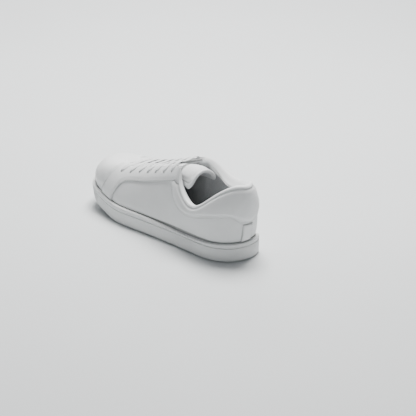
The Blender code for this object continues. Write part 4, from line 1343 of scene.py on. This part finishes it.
def buildLace():
    route = laceRoute()
    centres = np.array([r[0] for r in route])
    widths = [np.array(r[1]) for r in route]
    for i in range(1, len(widths)):
        if np.dot(widths[i], widths[i - 1]) < 0:
            widths[i] = -widths[i]
    widths = np.array(widths)
    sizes = np.array([r[2] for r in route])
    spots, walked, curve = chordCurve(centres, 1.0)
    width = np.stack([np.interp(spots, walked, widths[:, k]) for k in range(3)], -1)
    size = np.stack([np.interp(spots, walked, sizes[:, k]) for k in range(2)], -1)
    heading = unit(np.gradient(curve, axis=0))
    width = unit(width - heading * (width * heading).sum(1, keepdims=True))
    through = np.cross(heading, width)
    sides = 14
    points, uvs = [], []
    turn = np.linspace(0, 2 * np.pi, sides, endpoint=False)
    ringU = np.sign(np.cos(turn)) * np.abs(np.cos(turn)) ** 0.55
    ringV = np.sign(np.sin(turn)) * np.abs(np.sin(turn)) ** 0.7
    for i in range(len(curve)):
        wob = 0.12 * noise.noise(Vector(curve[i]) * 0.15)
        for a, b in zip(ringU, ringV):
            rib = 1.0 - 0.18 * abs(a) ** 6
            flat = width[i] * size[i, 0] * a * (1 + 0.03 * wob)
            points.append(curve[i] + flat + through[i] * (size[i, 1] * b * rib + wob))
            uvs.append((spots[i] / 1.1, 0.5 + 0.5 * a))
    faces = sweepFaces(len(curve), sides)
    ribbon = makePiece("laceRibbon", points, faces, "whiteLace", sharp=1.3)
    layer = ribbon.data.uv_layers.new(name="ribbon")
    loops = np.empty(len(ribbon.data.loops), np.int32)
    ribbon.data.loops.foreach_get("vertex_index", loops)
    layer.data.foreach_set("uv", np.array(uvs, np.float32)[loops].ravel())
    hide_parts("shoelace")


buildLace()
print("lace threaded")


# Carried-over parts keep their solids and get their own finish.
carried = {
    "midsole_core": "coreFoam", "insole_board": "fibreBoard", "vamp_lining": "liningKnit",
    "toe_puff": "stiffenerBoard", "heel_counter": "stiffenerBoard", "collar_foam": "collarFoam",
    "lateral_eyelet_tape": "edgeTape", "medial_eyelet_tape": "edgeTape",
    "front_aglet": "agletFilm", "top_aglet": "agletFilm",
}
for node, finish in carried.items():
    part = bpy.data.objects[node]
    for slot in part.material_slots:
        slot.link = "OBJECT"
        slot.material = finishes[finish]
print("carried parts finished")


# Floor, light and camera

def floorMaterial():
    look = Finish("paleFloor")
    cloud = look.ramp(look.noise(2.0, 3.0), (0.3, (0.71, 0.73, 0.735)), (0.7, (0.74, 0.76, 0.765)))
    look.surface({"Base Color": cloud, "Roughness": 0.75, "Specular IOR Level": 0.2})
    return look.material


studio = {
    "floor": 6.0, "distance": 3.0, "turn": 48.2, "raise": 23.8, "scale": 0.7365, "frame": 416,
    "aim": (-1.0, 0.0, 40.0), "aimRight": 44.8, "aimDown": 10.9,
}


lights = {
    "sky": 0.24, "aim": (0, 0, 0.04),
    "boxes": [
        ("topBox", (0.3, -0.45, 1.5), (0.8, 0.8), 66.0, (1.0, 0.995, 0.985)),
        ("backBox", (1.3, -1.0, 0.8), (0.9, 0.6), 9.0, (1.0, 1.0, 1.0)),
        ("fillBox", (-1.2, 1.6, 0.9), (1.4, 1.0), 1.5, (0.96, 0.98, 1.0)),
    ],
}


def buildStudio():
    size = studio["floor"]
    mesh = bpy.data.meshes.new("floor")
    corners = [(-size, -size, 0), (size, -size, 0), (size, size, 0), (-size, size, 0)]
    mesh.from_pydata(corners, [], [(0, 1, 2, 3)])
    floor = bpy.data.objects.new("floor", mesh)
    mesh.materials.append(floorMaterial())
    bpy.context.scene.collection.objects.link(floor)
    turn, rise = math.radians(studio["turn"]), math.radians(studio["raise"])
    back = Vector((-math.sin(turn) * math.cos(rise), math.cos(turn) * math.cos(rise), math.sin(rise)))
    right = Vector((-math.cos(turn), -math.sin(turn), 0))
    up = back.cross(right)
    aim = Vector(studio["aim"]) + right * studio["aimRight"] - up * studio["aimDown"]
    camera = bpy.data.cameras.new("camera")
    camera.sensor_width = 36.0
    camera.lens = studio["scale"] * studio["distance"] / mm / studio["frame"] * camera.sensor_width
    camera.clip_start, camera.clip_end = 0.1, 50.0
    eye = bpy.data.objects.new("camera", camera)
    turned = Matrix((right, up, back)).transposed().to_4x4()
    eye.matrix_world = Matrix.Translation(aim * mm + back * studio["distance"]) @ turned
    bpy.context.scene.collection.objects.link(eye)
    bpy.context.scene.camera = eye
    world = bpy.data.worlds.new("studio")
    bpy.context.scene.world = world
    world.use_nodes = True
    sky = world.node_tree.nodes["Background"]
    sky.inputs["Color"].default_value = (0.93, 0.965, 1.0, 1)
    sky.inputs["Strength"].default_value = lights["sky"]
    for name, place, size, power, tone in lights["boxes"]:
        data = bpy.data.lights.new(name, "AREA")
        data.shape = "RECTANGLE"
        data.size, data.size_y = size
        data.energy = power
        data.color = tone
        box = bpy.data.objects.new(name, data)
        box.location = place
        box.rotation_euler = (Vector(lights["aim"]) - Vector(place)).to_track_quat("-Z", "Y").to_euler()
        bpy.context.scene.collection.objects.link(box)


buildStudio()
